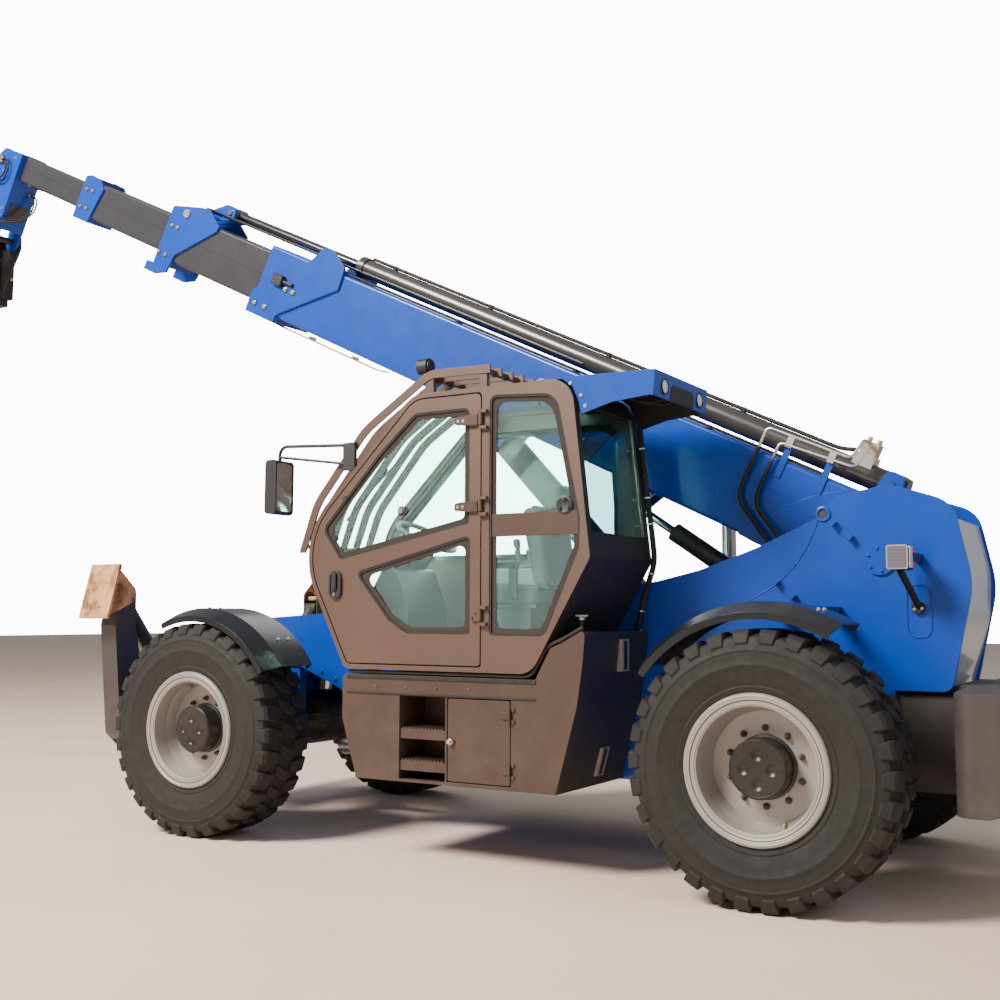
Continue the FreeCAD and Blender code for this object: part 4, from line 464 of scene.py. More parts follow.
class Shape:
    """Solids gathered into one piece."""

    def __init__(self):
        self.mesh = bmesh.new()

    def take(self, part, chamfer=0.0, segments=1):
        if chamfer:
            sharp = [e for e in part.edges if len(e.link_faces) == 2 and e.calc_face_angle() > 0.6]
            bmesh.ops.bevel(part, geom=sharp, offset=chamfer, segments=segments, affect="EDGES")
        passed = bpy.data.meshes.new("passed")
        part.to_mesh(passed)
        part.free()
        self.mesh.from_mesh(passed)
        bpy.data.meshes.remove(passed)
        return self

    def box(self, middle, size, turn=None, chamfer=0.002):
        part = bmesh.new()
        matrix = Matrix.Translation(middle) @ (turn.to_4x4() if turn else Matrix.Identity(4))
        bmesh.ops.create_cube(part, size=1, matrix=matrix @ Matrix.Diagonal((*size, 1)))
        return self.take(part, chamfer)

    def lathe(self, profile, centre, axis, sides=32):
        """A profile of (along, radius) turned about an axis."""
        part = bmesh.new()
        first, second = tangent_frame(axis)
        axis = axis.normalized()
        rings = []
        for along, radius in profile:
            middle = centre + axis * along
            if radius < 1e-6:
                rings.append([part.verts.new(middle)])
                continue
            rings.append([part.verts.new(middle + (first * math.cos(a) + second * math.sin(a)) * radius)
                          for a in (2 * math.pi * k / sides for k in range(sides))])
        for low, high in zip(rings, rings[1:]):
            for k in range(max(len(low), len(high))):
                after = (k + 1) % sides
                face = [low[k % len(low)], low[after % len(low)], high[after % len(high)], high[k % len(high)]]
                face = list(dict.fromkeys(face))
                if len(face) > 2:
                    part.faces.new(face)
        bmesh.ops.recalc_face_normals(part, faces=part.faces)
        return self.take(part)

    def rod(self, start, end, radius, sides=16, chamfer=0.0015):
        length = (end - start).length
        profile = [(0, 0), (0, radius - chamfer), (chamfer, radius), (length - chamfer, radius),
                   (length, radius - chamfer), (length, 0)]
        return self.lathe(profile, start, end - start, sides)

    def bolt(self, place, axis, size=0.012):
        """Washer and hexagon head."""
        self.rod(place, place + axis * size * 0.22, size * 1.25, 14, 0.0006)
        return self.rod(place + axis * size * 0.2, place + axis * size * 0.95, size, 6, 0.0012)

    def bolts(self, places, axis, size=0.012):
        for place in places:
            self.bolt(place, axis, size)
        return self

    def prism(self, outline, low, high, place=None, chamfer=0.0):
        """An outline of (x, z) points made solid between two sides; place maps (x, y, z) to the frame."""
        part = bmesh.new()
        place = place or at
        near = [part.verts.new(place(p[0], low, p[1])) for p in outline]
        far = [part.verts.new(place(p[0], high, p[1])) for p in outline]
        part.faces.new(near)
        part.faces.new(far[::-1])
        for index in range(len(outline)):
            after = (index + 1) % len(outline)
            part.faces.new((near[index], far[index], far[after], near[after]))
        bmesh.ops.recalc_face_normals(part, faces=part.faces)
        return self.take(part, chamfer)

    def band(self, outer, inner, low, high, place=None):
        """A flat ring between two outlines of as many points."""
        part = bmesh.new()
        place = place or at
        loops = [[part.verts.new(place(p[0], side, p[1])) for p in loop]
                 for loop, side in ((outer, low), (outer, high), (inner, high), (inner, low))]
        for index in range(4):
            first, second = loops[index], loops[(index + 1) % 4]
            for k in range(len(outer)):
                after = (k + 1) % len(outer)
                part.faces.new((first[k], first[after], second[after], second[k]))
        bmesh.ops.recalc_face_normals(part, faces=part.faces)
        return self.take(part)

    def pipe(self, points, radius, bend=0.05, sides=12, ribs=0.0):
        """A round line through points with rounded corners; ribs make it a corrugated sleeve."""
        path = rounded_path([Vector(p) for p in points], bend)
        if ribs:
            path = evenly(path, ribs / 2)
        part = bmesh.new()
        side = tangent_frame(path[1] - path[0])[0]
        rings = []
        for index, point in enumerate(path):
            ahead = (path[min(index + 1, len(path) - 1)] - path[max(index - 1, 0)]).normalized()
            side = (side - ahead * side.dot(ahead)).normalized()
            other = ahead.cross(side)
            size = radius * (0.86 if ribs and index % 2 else 1.0)
            rings.append([part.verts.new(point + (side * math.cos(a) + other * math.sin(a)) * size)
                          for a in (2 * math.pi * k / sides for k in range(sides))])
        for low, high in zip(rings, rings[1:]):
            for k in range(sides):
                after = (k + 1) % sides
                part.faces.new((low[k], low[after], high[after], high[k]))
        part.faces.new(rings[0][::-1])
        part.faces.new(rings[-1])
        return self.take(part)

    def piece(self, name, body, material, slot, smooth=0.6):
        mesh = bpy.data.meshes.new(name)
        bmesh.ops.remove_doubles(self.mesh, verts=self.mesh.verts, dist=1e-6)
        self.mesh.to_mesh(mesh)
        self.mesh.free()
        mesh.materials.append(material)
        mesh.shade_smooth()
        mesh.set_sharp_from_angle(angle=smooth)
        made = bpy.data.objects.new(name, mesh)
        bpy.context.scene.collection.objects.link(made)
        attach(made, body)
        return made


def rounded_path(points, bend):
    """Straight runs whose corners are eased by short curves."""
    path = [points[0]]
    for before, here, after in zip(points, points[1:], points[2:]):
        reach = min(bend, (here - before).length * 0.48, (after - here).length * 0.48)
        start, end = here + (before - here).normalized() * reach, here + (after - here).normalized() * reach
        for step in range(7):
            t = step / 6
            path.append(start * (1 - t) ** 2 + here * 2 * t * (1 - t) + end * t ** 2)
    path.append(points[-1])
    return path


def evenly(path, pitch):
    """Points along a path at an even pitch."""
    made = [path[0]]
    spare = 0.0
    for before, after in zip(path, path[1:]):
        length = (after - before).length
        position = pitch - spare
        while position < length:
            made.append(before.lerp(after, position / length))
            position += pitch
        spare = length - (position - pitch)
    return made


# ---------------------------------------------------------------- tyres and wheels

TYRE_SIDE = [  # side, radius from the bead to the groove floor at the middle
    (0.1800, 0.3185), (0.1860, 0.335), (0.1925, 0.352), (0.1935, 0.374), (0.2010, 0.390), (0.2020, 0.397),
    (0.1990, 0.403), (0.2080, 0.432), (0.2150, 0.462), (0.2195, 0.495), (0.2222, 0.500), (0.2222, 0.506),
    (0.2198, 0.511), (0.2196, 0.535), (0.2172, 0.562), (0.2195, 0.566), (0.2190, 0.574), (0.2140, 0.580),
    (0.2110, 0.596), (0.2045, 0.618), (0.1970, 0.634), (0.1800, 0.643), (0.1500, 0.649), (0.0800, 0.651)]
CROWN = [  # distance from the middle over the crown; side and radius of block top; of the groove floor
    (0.000, 0.0000, 0.6750, 0.0000, 0.651), (0.150, 0.1500, 0.6745, 0.1500, 0.649),
    (0.185, 0.1850, 0.6720, 0.1800, 0.643), (0.205, 0.2025, 0.6610, 0.1970, 0.634),
    (0.232, 0.2125, 0.6370, 0.2045, 0.618), (0.275, 0.2185, 0.5960, 0.2110, 0.594)]
BLOCK_COUNT = 30
SHOULDER_BLOCK = [  # distance over the crown, start and end along the pitch
    (0.074, 0.034, 0.088), (0.108, 0.010, 0.102), (0.150, 0.014, 0.106), (0.187, 0.020, 0.108),
    (0.212, 0.022, 0.106), (0.262, 0.030, 0.098)]
CENTRE_BLOCK = [(-0.060, 0.014, 0.070), (-0.022, 0.030, 0.100), (0.022, 0.048, 0.118), (0.060, 0.078, 0.134)]


def over_crown(v, lift):
    """Side and radius at a distance over the crown, from groove floor (0) to block top (1)."""
    reach = min(abs(v), CROWN[-1][0])
    for low, high in zip(CROWN, CROWN[1:]):
        if reach <= high[0]:
            t = (reach - low[0]) / (high[0] - low[0])
            top_side, top, floor_side, floor = (a + (b - a) * t for a, b in zip(low[1:], high[1:]))
            break
    side = floor_side + (top_side - floor_side) * lift
    return math.copysign(side, v), floor + (top - floor) * lift


def tread_block(part, rows, turn, mirror):
    """One rubber block: a top that follows the crown, a chamfer and drafted walls."""

    def corner(v, u, lift):
        side, radius = over_crown(v * mirror, lift)
        angle = turn + u / 0.675
        return part.verts.new((radius * math.sin(angle), side, radius * math.cos(angle)))

    border = [(v, start) for v, start, end in rows] + [(v, end) for v, start, end in reversed(rows)]
    middle_v = sum(v for v, u in border) / len(border)
    middle_u = sum(u for v, u in border) / len(border)

    def ring(grow, lift):
        made = []
        for v, u in border:
            out = Vector((v - middle_v, u - middle_u)).normalized() * grow
            made.append(corner(v + out.x, u + out.y, lift))
        return made

    rings = [ring(0.005, -0.12), ring(0.0, 0.84), ring(-0.0035, 1.0)]
    for low, high in zip(rings, rings[1:]):
        for k in range(len(border)):
            after = (k + 1) % len(border)
            part.faces.new((low[k], low[after], high[after], high[k]))
    count = len(rows)
    top = rings[-1]
    middles = [corner(v, (start + end) / 2, 1.0) for v, start, end in rows]
    for k in range(count - 1):
        part.faces.new((top[k], top[k + 1], middles[k + 1], middles[k]))
        part.faces.new((middles[k], middles[k + 1], top[-k - 2], top[-k - 1]))
    part.faces.new((top[0], middles[0], top[-1]))
    part.faces.new((top[count - 1], top[count], middles[count - 1]))


def tyre_mesh():
    shape = Shape()
    profile = [(-side, radius) for side, radius in TYRE_SIDE] + [(0, 0.6512)]
    profile += [(side, radius) for side, radius in reversed(TYRE_SIDE)]
    profile += [(0.150, 0.3182), (-0.150, 0.3182), profile[0]]
    shape.lathe(profile, Vector(), LEFT, 120)
    blocks = bmesh.new()
    pitch = 2 * math.pi / BLOCK_COUNT
    for index in range(BLOCK_COUNT):
        for mirror in (1, -1):
            turn = (index + (0.5 if mirror < 0 else 0)) * pitch
            tread_block(blocks, SHOULDER_BLOCK, turn, mirror)
        tread_block(blocks, CENTRE_BLOCK, index * pitch + 0.02, 1)
    bmesh.ops.recalc_face_normals(blocks, faces=blocks.faces)
    return shape.take(blocks)


HUB_PROFILE = [(0.0362, 0), (0.0362, 0.158), (0.0500, 0.158), (0.0540, 0.1462), (0.1560, 0.1462), (0.1640, 0.1385),
               (0.1640, 0.1330), (0.1600, 0.1330)]


def hub_mesh():
    """Planetary hub: its face has four round dimples and a small plug between two of them."""
    shape = Shape().lathe(HUB_PROFILE, Vector(), LEFT, 48)
    part = bmesh.new()
    rings, sides = 24, 80
    rows = []
    for ring in range(rings + 1):
        radius = 0.1365 * (1 - ring / rings)
        row = []
        for index in range(sides if ring < rings else 1):
            angle = 2 * math.pi * index / sides
            x, z = radius * math.cos(angle), radius * math.sin(angle)
            away = min(math.hypot(x - dx, z - dz) for dx, dz in ((0.071, 0), (0, 0.071), (-0.071, 0), (0, -0.071)))
            depth = 0.0115 * max(0.0, 1 - (away / 0.029) ** 2) ** 0.6
            row.append(part.verts.new((x, 0.1638 - depth, z)))
        rows.append(row)
    for low, high in zip(rows, rows[1:]):
        for index in range(sides):
            after = (index + 1) % sides
            corners = [low[index], low[after], high[after % len(high)], high[index % len(high)]]
            part.faces.new(list(dict.fromkeys(corners)))
    bmesh.ops.recalc_face_normals(part, faces=part.faces)
    if part.faces[0].normal.y < 0:
        bmesh.ops.reverse_faces(part, faces=part.faces)
    shape.take(part)
    for x, z in ((0.058, 0.104), (-0.104, -0.058)):
        shape.rod(Vector((x, 0.1635, z)), Vector((x, 0.1665, z)), 0.006, 12)
    return shape


def nuts_mesh():
    shape = Shape()
    for index in range(10):
        angle = math.radians(36 * index + 18)
        middle = Vector((0.190 * math.cos(angle), 0.0362, 0.190 * math.sin(angle)))
        shape.rod(middle, middle + LEFT * 0.005, 0.0175, 18)
        shape.rod(middle + LEFT * 0.004, middle + LEFT * 0.024, 0.0135, 6, 0.003)
        shape.rod(middle + LEFT * 0.022, middle + LEFT * 0.036, 0.0075, 10)
    return shape


def valve_mesh():
    start = Vector((0.10, 0.060, 0.262))
    shape = Shape().rod(start, start + Vector((0.006, 0.030, 0.004)), 0.009, 10)
    return shape.rod(start + Vector((0.004, 0.026, 0.003)), start + Vector((0.012, 0.058, 0.008)), 0.0055, 10)


def at_wheels(maker, name, material, slot):
    """One detailed mesh shown at all four wheels; returns the pieces."""
    made = {}
    first = None
    for axle, station in (("front", WHEELBASE), ("rear", 0.0)):
        for side, sign in (("left", 1), ("right", -1)):
            corner = "%s_%s" % (axle, side)
            if first is None:
                first = maker().piece(name + "_" + corner, "wheel_" + corner, material, slot)
                piece = first
            else:
                piece = bpy.data.objects.new(name + "_" + corner, first.data)
                bpy.context.scene.collection.objects.link(piece)
            spot = Matrix.Translation(at(station, sign * HALF_TRACK, AXLE_HEIGHT))
            spin = Matrix.Rotation(math.pi / 2 * len(made), 4, "Y")
            piece.parent = None
            piece.matrix_world = spot @ (Matrix.Rotation(math.pi, 4, "Z") if sign < 0 else Matrix.Identity(4)) @ spin
            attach(piece, "wheel_" + corner)
            made[corner] = piece
    return made


for corner, piece in at_wheels(tyre_mesh, "tyre_tread", TYRE, "tyre_rubber").items():
    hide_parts("tyre_" + corner)
at_wheels(hub_mesh, "wheel_hub", HUB, "axle_black")
at_wheels(lambda: Shape().lathe([(0.2079, 0.359), (0.2105, 0.356), (0.2105, 0.350), (0.2079, 0.347)], Vector(), LEFT, 96)
          .lathe([(0.1990, 0.3165), (0.2030, 0.3155), (0.2020, 0.3110), (0.1970, 0.3080)], Vector(), LEFT, 96),
          "rim_beads", RIM, "rim_grey")
# Thin black ring on the rim: painted shade for the lock ring's groove
at_wheels(lambda: Shape().lathe([(0.2050, 0.3350), (0.2066, 0.3345), (0.2058, 0.3305), (0.2040, 0.3300)], Vector(), LEFT,
                                96), "rim_lock_groove_painted_shade", PLASTIC, "rim_grey")
at_wheels(nuts_mesh, "wheel_nuts", NUT_RUST, "pad_orange")
at_wheels(valve_mesh, "wheel_valve", BRASS, "rod_chrome")

# ---------------------------------------------------------------- cab

UPPER_WINDOW = [(1.682, 1.925, .025), (2.605, 1.737, .025), (2.742, 1.925, .06), (2.318, 2.365, .12),
                (2.063, 2.585, .06), (1.682, 2.588, .04)]
LOWER_WINDOW = [(1.675, 1.300, .025), (2.110, 1.300, .04), (2.240, 1.375, .06), (2.489, 1.660, .03),
                (1.675, 1.860, .03)]
QUARTER_WINDOW = [(1.195, 1.295, .06), (1.549, 1.295, .03), (1.549, 2.648, .045), (1.120, 2.620, .11),
                  (0.978, 1.930, .04), (0.984, 1.770, .04)]
RIGHT_WINDOW = [(1.120, 1.750, .06), (2.640, 1.750, .12), (2.700, 1.990, .06), (2.140, 2.560, .12),
                (1.120, 2.560, .09)]


def window_trim(name, body, window, glass_face, outward):
    """Rubber bead in the opening's edge and the black border baked on the glass."""
    edge = rounded(window)
    shape = Shape()
    bead = (glass_face, glass_face + outward * 0.011)
    shape.band(moved_in(edge, 0.0002), moved_in(edge, 0.012), min(bead), max(bead))
    shape.piece(name, body, SEAL, "interior_plastic", 0.4)
    clear = moved_in(rounded([(x, z, radius + 0.045) for x, z, radius in window]), 0.040)
    border = (glass_face + outward * 0.0003, glass_face + outward * 0.0012)
    enamel = Shape().band(moved_in(edge, 0.011), clear, min(border), max(border))
    enamel.piece(name.replace("seal", "border"), body, FRIT, "interior_plastic", 0.4)


window_trim("door_upper_seal", "door", UPPER_WINDOW, GLASS_SIDE, 1)
window_trim("door_lower_seal", "door", LOWER_WINDOW, GLASS_SIDE, 1)
window_trim("quarter_window_seal", "chassis", QUARTER_WINDOW, GLASS_SIDE, 1)
window_trim("right_window_seal", "chassis", RIGHT_WINDOW, 0.434, -1)

band = Shape()
band.prism([(0.986, 1.845), (1.545, 1.845), (1.545, 1.973), (1.000, 1.973)], GLASS_SIDE + 0.0013, GLASS_SIDE + 0.006)
band.piece("quarter_window_band", "chassis", STEP_TAUPE, "cab_taupe")

fittings = Shape()
for height in (1.405, 2.019, 2.511):
    for station in (1.628, 1.648):
        fittings.bolt(at(station, CAB_SIDE + 0.0153, height + (0.014 if station < 1.64 else -0.014)), LEFT, 0.006)
fittings.piece("door_hinge_screws", "door", PLASTIC, "interior_plastic")
straps = Shape()
strap_bolts = Shape()
for height in (2.019, 2.511):
    outline = [(1.618, height - 0.030), (1.672, height - 0.030), (1.770, height - 0.022, .012),
               (1.770, height + 0.022, .012), (1.672, height + 0.030), (1.618, height + 0.030)]
    straps.prism(rounded(outline), CAB_SIDE + 0.0155, CAB_SIDE + 0.0205)
    for station in (1.715, 1.748):
        straps.rod(at(station, GLASS_SIDE + 0.001, height), at(station, CAB_SIDE + 0.0160, height), 0.012, 16)
        strap_bolts.rod(at(station, CAB_SIDE + 0.0205, height), at(station, CAB_SIDE + 0.0235, height), 0.010, 16)
straps.piece("door_hinge_straps", "door", STEP_TAUPE, "cab_taupe")
strap_bolts.piece("door_strap_bolts", "door", ZINC, "pipe_steel")
handle = Shape()
oval = [(2.586, 1.502, .044), (2.676, 1.502, .044), (2.676, 1.672, .044), (2.586, 1.672, .044)]
handle.band(rounded(oval), moved_in(rounded(oval), 0.012), CAB_SIDE + 0.0003, CAB_SIDE + 0.0160)
handle.prism(moved_in(rounded(oval), 0.0115), CAB_SIDE + 0.0003, CAB_SIDE + 0.0115)
handle.box(at(2.631, CAB_SIDE + 0.020, 1.605), (0.030, 0.014, 0.105), chamfer=0.006)
for station, height in ((2.573, 2.105), (2.645, 1.871)):
    handle.lathe([(0, 0), (0, 0.020), (0.012, 0.020), (0.018, 0.014), (0.018, 0)],
                 at(station, GLASS_SIDE + 0.0014, height), LEFT, 20)
handle.lathe([(0, 0), (0, 0.030), (0.008, 0.030), (0.012, 0.024), (0.012, 0)],
             at(2.156, GLASS_SIDE + 0.0014, 2.015), LEFT, 24)
handle.piece("door_handle_and_knobs", "door", PLASTIC, "interior_plastic")
latch = Shape().rod(at(2.156, GLASS_SIDE + 0.012, 2.015), at(2.156, GLASS_SIDE + 0.024, 2.015), 0.014)
latch.rod(at(2.634, CAB_SIDE + 0.0115, 1.530), at(2.634, CAB_SIDE + 0.020, 1.530), 0.009)
latch.piece("door_locks", "door", ZINC, "pipe_steel")

vent = Shape().lathe([(0, 0), (0, 0.052), (0.008, 0.050), (0.012, 0.040), (0.008, 0.030), (0.008, 0)],
                     at(1.075, GLASS_SIDE + 0.0013, 2.004), LEFT, 32)
for turn in range(3):
    angle = math.radians(90 + 120 * turn)
    vent.rod(at(1.075 + 0.03 * math.cos(angle), GLASS_SIDE + 0.008, 2.004 + 0.03 * math.sin(angle)),
             at(1.075 + 0.03 * math.cos(angle), GLASS_SIDE + 0.022, 2.004 + 0.03 * math.sin(angle)), 0.009)
vent.piece("quarter_window_vent", "chassis", PLASTIC, "interior_plastic")

# Rubber strips between cab and step box, with their rivets
strips = Shape()
strips.box(at(1.905, 1.2035, 1.046), (1.29, 0.006, 0.020))
strips.box(at(1.905, 1.2035, 0.952), (1.29, 0.006, 0.010))
strips.pipe([at(2.540, 1.197, 1.0755), at(1.290, 1.197, 1.0755), at(1.190, 1.197, 1.246), at(1.105, 1.197, 1.277),
             at(0.975, 1.197, 1.346)], 0.010, 0.05, 10)
strips.rod(at(1.030, 1.100, 1.300), at(1.030, 1.100, 1.384), 0.012)
strips.piece("step_box_strips", "chassis", SEAL, "interior_plastic")
rivets = Shape()
for station in (2.336, 2.121, 1.912, 1.690):
    rivets.lathe([(0, 0), (0, 0.009), (0.003, 0.008), (0.006, 0.004), (0.0065, 0)], at(station, 1.2003, 0.993),
                 LEFT, 14)
rivets.piece("step_box_rivets", "chassis", NUT_RUST, "pad_orange")
# Black strips on the step box plates: painted shade for the plates' slots
plates_back = Shape()
slot_shades = Shape()
for middle, size, lean in ((at(0.967, 0.720, 1.187), (0.034, 0.100, 0.180), 0),
                           (at(1.100, 0.730, 0.592), (0.020, 0.100, 0.170), math.radians(-15.4))):
    turn = Matrix.Rotation(lean, 3, "Y")
    plates_back.box(middle, size, turn, 0.003)
    slot_shades.box(middle - turn @ AHEAD * (size[0] / 2 + 0.0006), (0.0015, 0.040, size[2] - 0.02), turn, 0.0)
plates_back.piece("step_box_plates", "chassis", RIM, "rim_grey")
slot_shades.piece("step_box_plate_slot_painted_shade", "chassis", PLASTIC, "interior_plastic")
knob = Shape()
knob.lathe([(0, 0.012), (0, 0.019), (0.004, 0.018), (0.004, 0.012)], at(1.807, 1.2103, 0.700), LEFT, 24)
knob.rod(at(1.807, 1.2103, 0.700), at(1.807, 1.2340, 0.700), 0.0125, 20, 0.003)
holder = Shape().rod(at(1.030, 1.100, 1.384), at(1.030, 1.100, 1.400), 0.020, 20)
holder.box(at(1.030, 1.100, 1.408), (0.075, 0.020, 0.014), chamfer=0.004)
holder.piece("cab_hold_down", "chassis", ZINC, "pipe_steel")
knob.piece("locker_knob", "locker", ZINC, "pipe_steel")
teeth = Shape()
for height in (0.755, 0.575):
    for index in range(13):
        station = 1.872 + index * 0.0225
        teeth.prism([(station, height + 0.0002), (station + 0.018, height + 0.0002), (station + 0.009, height + 0.012)],
                    0.98, 1.185)
teeth.piece("step_treads", "chassis", TAUPE, "cab_taupe")

# ---------------------------------------------------------------- inside the cab

SEAT_MIDDLE = 0.820
SEAT_BASE = 1.1353


def pillow(name, size, centre, lean, crown):
    """A stuffed form: a rounded block whose faces crown and whose sides pull in between the corners."""
    part = bmesh.new()
    bmesh.ops.create_cube(part, size=1)
    bmesh.ops.subdivide_edges(part, edges=part.edges, cuts=9, use_grid_fill=True)
    for vertex in part.verts:
        x, y, z = (2 * value for value in vertex.co)
        pinch = 1 - 0.05 * (1 - x * x) - 0.03 * (1 - y * y)
        bulge = 1 + crown * (1 - x ** 4) * (1 - y ** 4)
        corner = 1 - 0.10 * (abs(x) ** 6) * (abs(y) ** 6)
        vertex.co = Vector((x * pinch * corner * size[0] / 2 * (1 - 0.08 * z ** 4),
                            y * pinch * corner * size[1] / 2 * (1 - 0.08 * z ** 4),
                            z * bulge * size[2] / 2))
    bmesh.ops.transform(part, verts=part.verts,
                        matrix=Matrix.Translation(centre) @ Matrix.Rotation(lean, 4, "Y"))
    shape = Shape()
    shape.take(part)
    made = shape.piece(name, "chassis", SEAT_CLOTH, "seat_cloth", 1.2)
    inflate(made)
    smooth = made.modifiers.new("smooth", "SUBSURF")
    smooth.levels = smooth.render_levels = 1
    return made


def inflate(made):
    """Cloth under pressure swells the form; the result is kept in its mesh, at most a few millimetres out."""
    rest = [vertex.co.copy() for vertex in made.data.vertices]
    cloth_step = made.modifiers.new("cloth", "CLOTH")
    settings = cloth_step.settings
    settings.use_pressure = True
    settings.uniform_pressure_force = 4
    settings.effector_weights.gravity = 0
    scene = bpy.context.scene
    for step in range(1, 17):
        scene.frame_set(step)
    swollen = made.evaluated_get(bpy.context.evaluated_depsgraph_get()).to_mesh()
    reached = [vertex.co.copy() for vertex in swollen.vertices]
    made.modifiers.remove(cloth_step)
    scene.frame_set(1)
    for vertex, start, end in zip(made.data.vertices, rest, reached):
        push = end - start
        vertex.co = start + push * min(1, 0.007 / max(push.length, 1e-6))


cushion = pillow("seat_cushion", (0.46, 0.45, 0.11), at(1.575, SEAT_MIDDLE, SEAT_BASE + 0.385), math.radians(-3), 0.16)
pillow("seat_backrest", (0.50, 0.43, 0.10), at(1.375, SEAT_MIDDLE, SEAT_BASE + 0.660), math.radians(-79), 0.16)
pillow("seat_headrest", (0.15, 0.26, 0.085), at(1.295, SEAT_MIDDLE, SEAT_BASE + 0.945), math.radians(-79), 0.2)
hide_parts("operator_seat")

inside = Shape()
inside.box(at(1.575, SEAT_MIDDLE, SEAT_BASE + 0.325), (0.44, 0.40, 0.028), chamfer=0.006)
inside.box(at(1.345, SEAT_MIDDLE, SEAT_BASE + 0.66), (0.02, 0.36, 0.48), Matrix.Rotation(math.radians(11), 3, "Y"))
for sign in (1, -1):
    side = SEAT_MIDDLE + sign * 0.265
    inside.box(at(1.60, side, SEAT_BASE + 0.56), (0.32, 0.065, 0.045), chamfer=0.012)
    inside.box(at(1.47, side, SEAT_BASE + 0.46), (0.05, 0.03, 0.20), chamfer=0.006)
for offset in (-0.07, 0.07):
    inside.rod(at(1.30, SEAT_MIDDLE + offset, SEAT_BASE + 0.86), at(1.29, SEAT_MIDDLE + offset, SEAT_BASE + 0.93), 0.007)
inside.rod(at(1.73, SEAT_MIDDLE - 0.265, SEAT_BASE + 0.58), at(1.75, SEAT_MIDDLE - 0.265, SEAT_BASE + 0.68), 0.014)
inside.lathe([(0, 0), (0, 0.016), (0.03, 0.024), (0.055, 0.020), (0.066, 0)],
             at(1.75, SEAT_MIDDLE - 0.265, SEAT_BASE + 0.68), Vector((0.2, 0, 1)), 20)
inside.piece("seat_frame_and_armrests", "chassis", PLASTIC, "interior_plastic")

panel = Shape()
panel.box(at(2.385, SEAT_MIDDLE, SEAT_BASE + 0.62), (0.10, 0.36, 0.16), Matrix.Rotation(math.radians(-35), 3, "Y"),
          0.015)
for index, station in enumerate((0.70, 0.82, 0.94)):
    panel.rod(at(2.345, station, SEAT_BASE + 0.655), at(2.335, station, SEAT_BASE + 0.66), 0.035, 28)
for offset in (-0.09, 0.02, 0.13):
    panel.box(at(2.16, SEAT_MIDDLE + offset, SEAT_BASE + 0.045), (0.10, 0.07, 0.012),
              Matrix.Rotation(math.radians(-40), 3, "Y"), 0.004)
panel.piece("dash_panel_and_pedals", "chassis", DASH, "interior_plastic")

lining = Shape()
lining.box(at(1.62, 0.480, 1.45), (0.92, 0.028, 0.50), chamfer=0.01)
lining.box(at(1.62, 0.545, 1.60), (0.60, 0.11, 0.20), chamfer=0.02)
for index in range(4):
    lining.rod(at(1.50 + index * 0.08, 0.55, 1.70), at(1.52 + index * 0.08, 0.55, 1.78), 0.008)
    lining.rod(at(1.52 + index * 0.08, 0.55, 1.775), at(1.523 + index * 0.08, 0.55, 1.805), 0.014)
lining.piece("side_console", "chassis", DASH, "interior_plastic")

# Wiper on the windscreen, standing off the glass inside the guard bars
SCREEN_DOWN = Vector((2.950 - 2.082, 0, 1.846 - 2.700)).normalized()
SCREEN_OUT = Vector((-SCREEN_DOWN.z, 0, SCREEN_DOWN.x))
screen_top = at(2.30, 0.80, 2.487)
wiper = Shape()
foot = screen_top + SCREEN_OUT * 0.010
wiper.pipe([foot, foot + SCREEN_OUT * 0.022, foot + SCREEN_DOWN * 0.52 + LEFT * 0.10 + SCREEN_OUT * 0.010], 0.006, 0.02)
blade = foot + SCREEN_DOWN * 0.50 + LEFT * 0.10 + SCREEN_OUT * 0.004
wiper.pipe([blade - SCREEN_DOWN * 0.24, blade + SCREEN_DOWN * 0.20], 0.007, 0.02, 8)
wiper.piece("windscreen_wiper", "chassis", PLASTIC, "interior_plastic")

# Lamps, beacon and wiring behind the cab's roof
lamps = Shape()
housings = Shape()
for side in (1.050, 0.560):
    spot = at(0.560, side, 2.630)
    housings.lathe([(0.060, 0), (0.060, 0.020), (0.020, 0.0425), (-0.004, 0.0435), (-0.010, 0.0435), (-0.010, 0.039),
                    (-0.002, 0.038), (-0.002, 0)], spot, AHEAD, 32)
    lamps.lathe([(-0.002, 0), (-0.002, 0.0375), (-0.008, 0.036), (-0.014, 0.022), (-0.0155, 0)], spot, AHEAD, 32)
for side in (0.590, 1.060):
    spot = at(2.140, side, 2.895)
    lamps.lathe([(0, 0), (0, 0.043), (0.006, 0.040), (0.012, 0.022), (0.013, 0)], spot, AHEAD, 32)
housings.piece("roof_lamp_housings", "chassis", PLASTIC, "lamp_plastic")
lamps.piece("roof_lamp_lenses", "chassis", WHITE_LENS, "lamp_plastic")
paint_faces("cab_guard", PLASTIC, lambda c, n: c.z > 2.829 and 2.010 < c.x - SHIFT < 2.16)

# Black plate between the visor's lamps: painted shade standing in for a recess in the visor's rear face
shade = Shape()
shade.prism(rounded([(0.640, 2.567, .008), (0.970, 2.567, .008), (0.955, 2.655, .03), (0.655, 2.655, .03)]), -0.0026,
            0.001, lambda side, off, height: at(0.548 + (2.703 - height) * 0.1014 + off, side, height))
shade.piece("visor_recess_painted_shade", "chassis", PLASTIC, "interior_plastic")
paint_faces("rear_visor", PLASTIC, lambda c, n: (n.z < -0.15 or n.x > 0.5 or (n.y > 0.5 and c.y < 0.8)
                                                or (n.y < -0.5 and c.y > 0.8)))

beacon = Shape().lathe([(0, 0), (0, 0.050), (0.022, 0.050), (0.026, 0.044), (0.026, 0)], at(1.45, 0.80, 2.7003), UP, 32)
beacon.piece("beacon_base", "chassis", PLASTIC, "lamp_plastic")
dome = Shape().lathe([(0.026, 0), (0.026, 0.043), (0.070, 0.040), (0.092, 0.030), (0.102, 0.012), (0.104, 0)],
                     at(1.45, 0.80, 2.7003), UP, 32)
dome.piece("beacon_dome", "chassis", AMBER_LENS, "lamp_plastic")

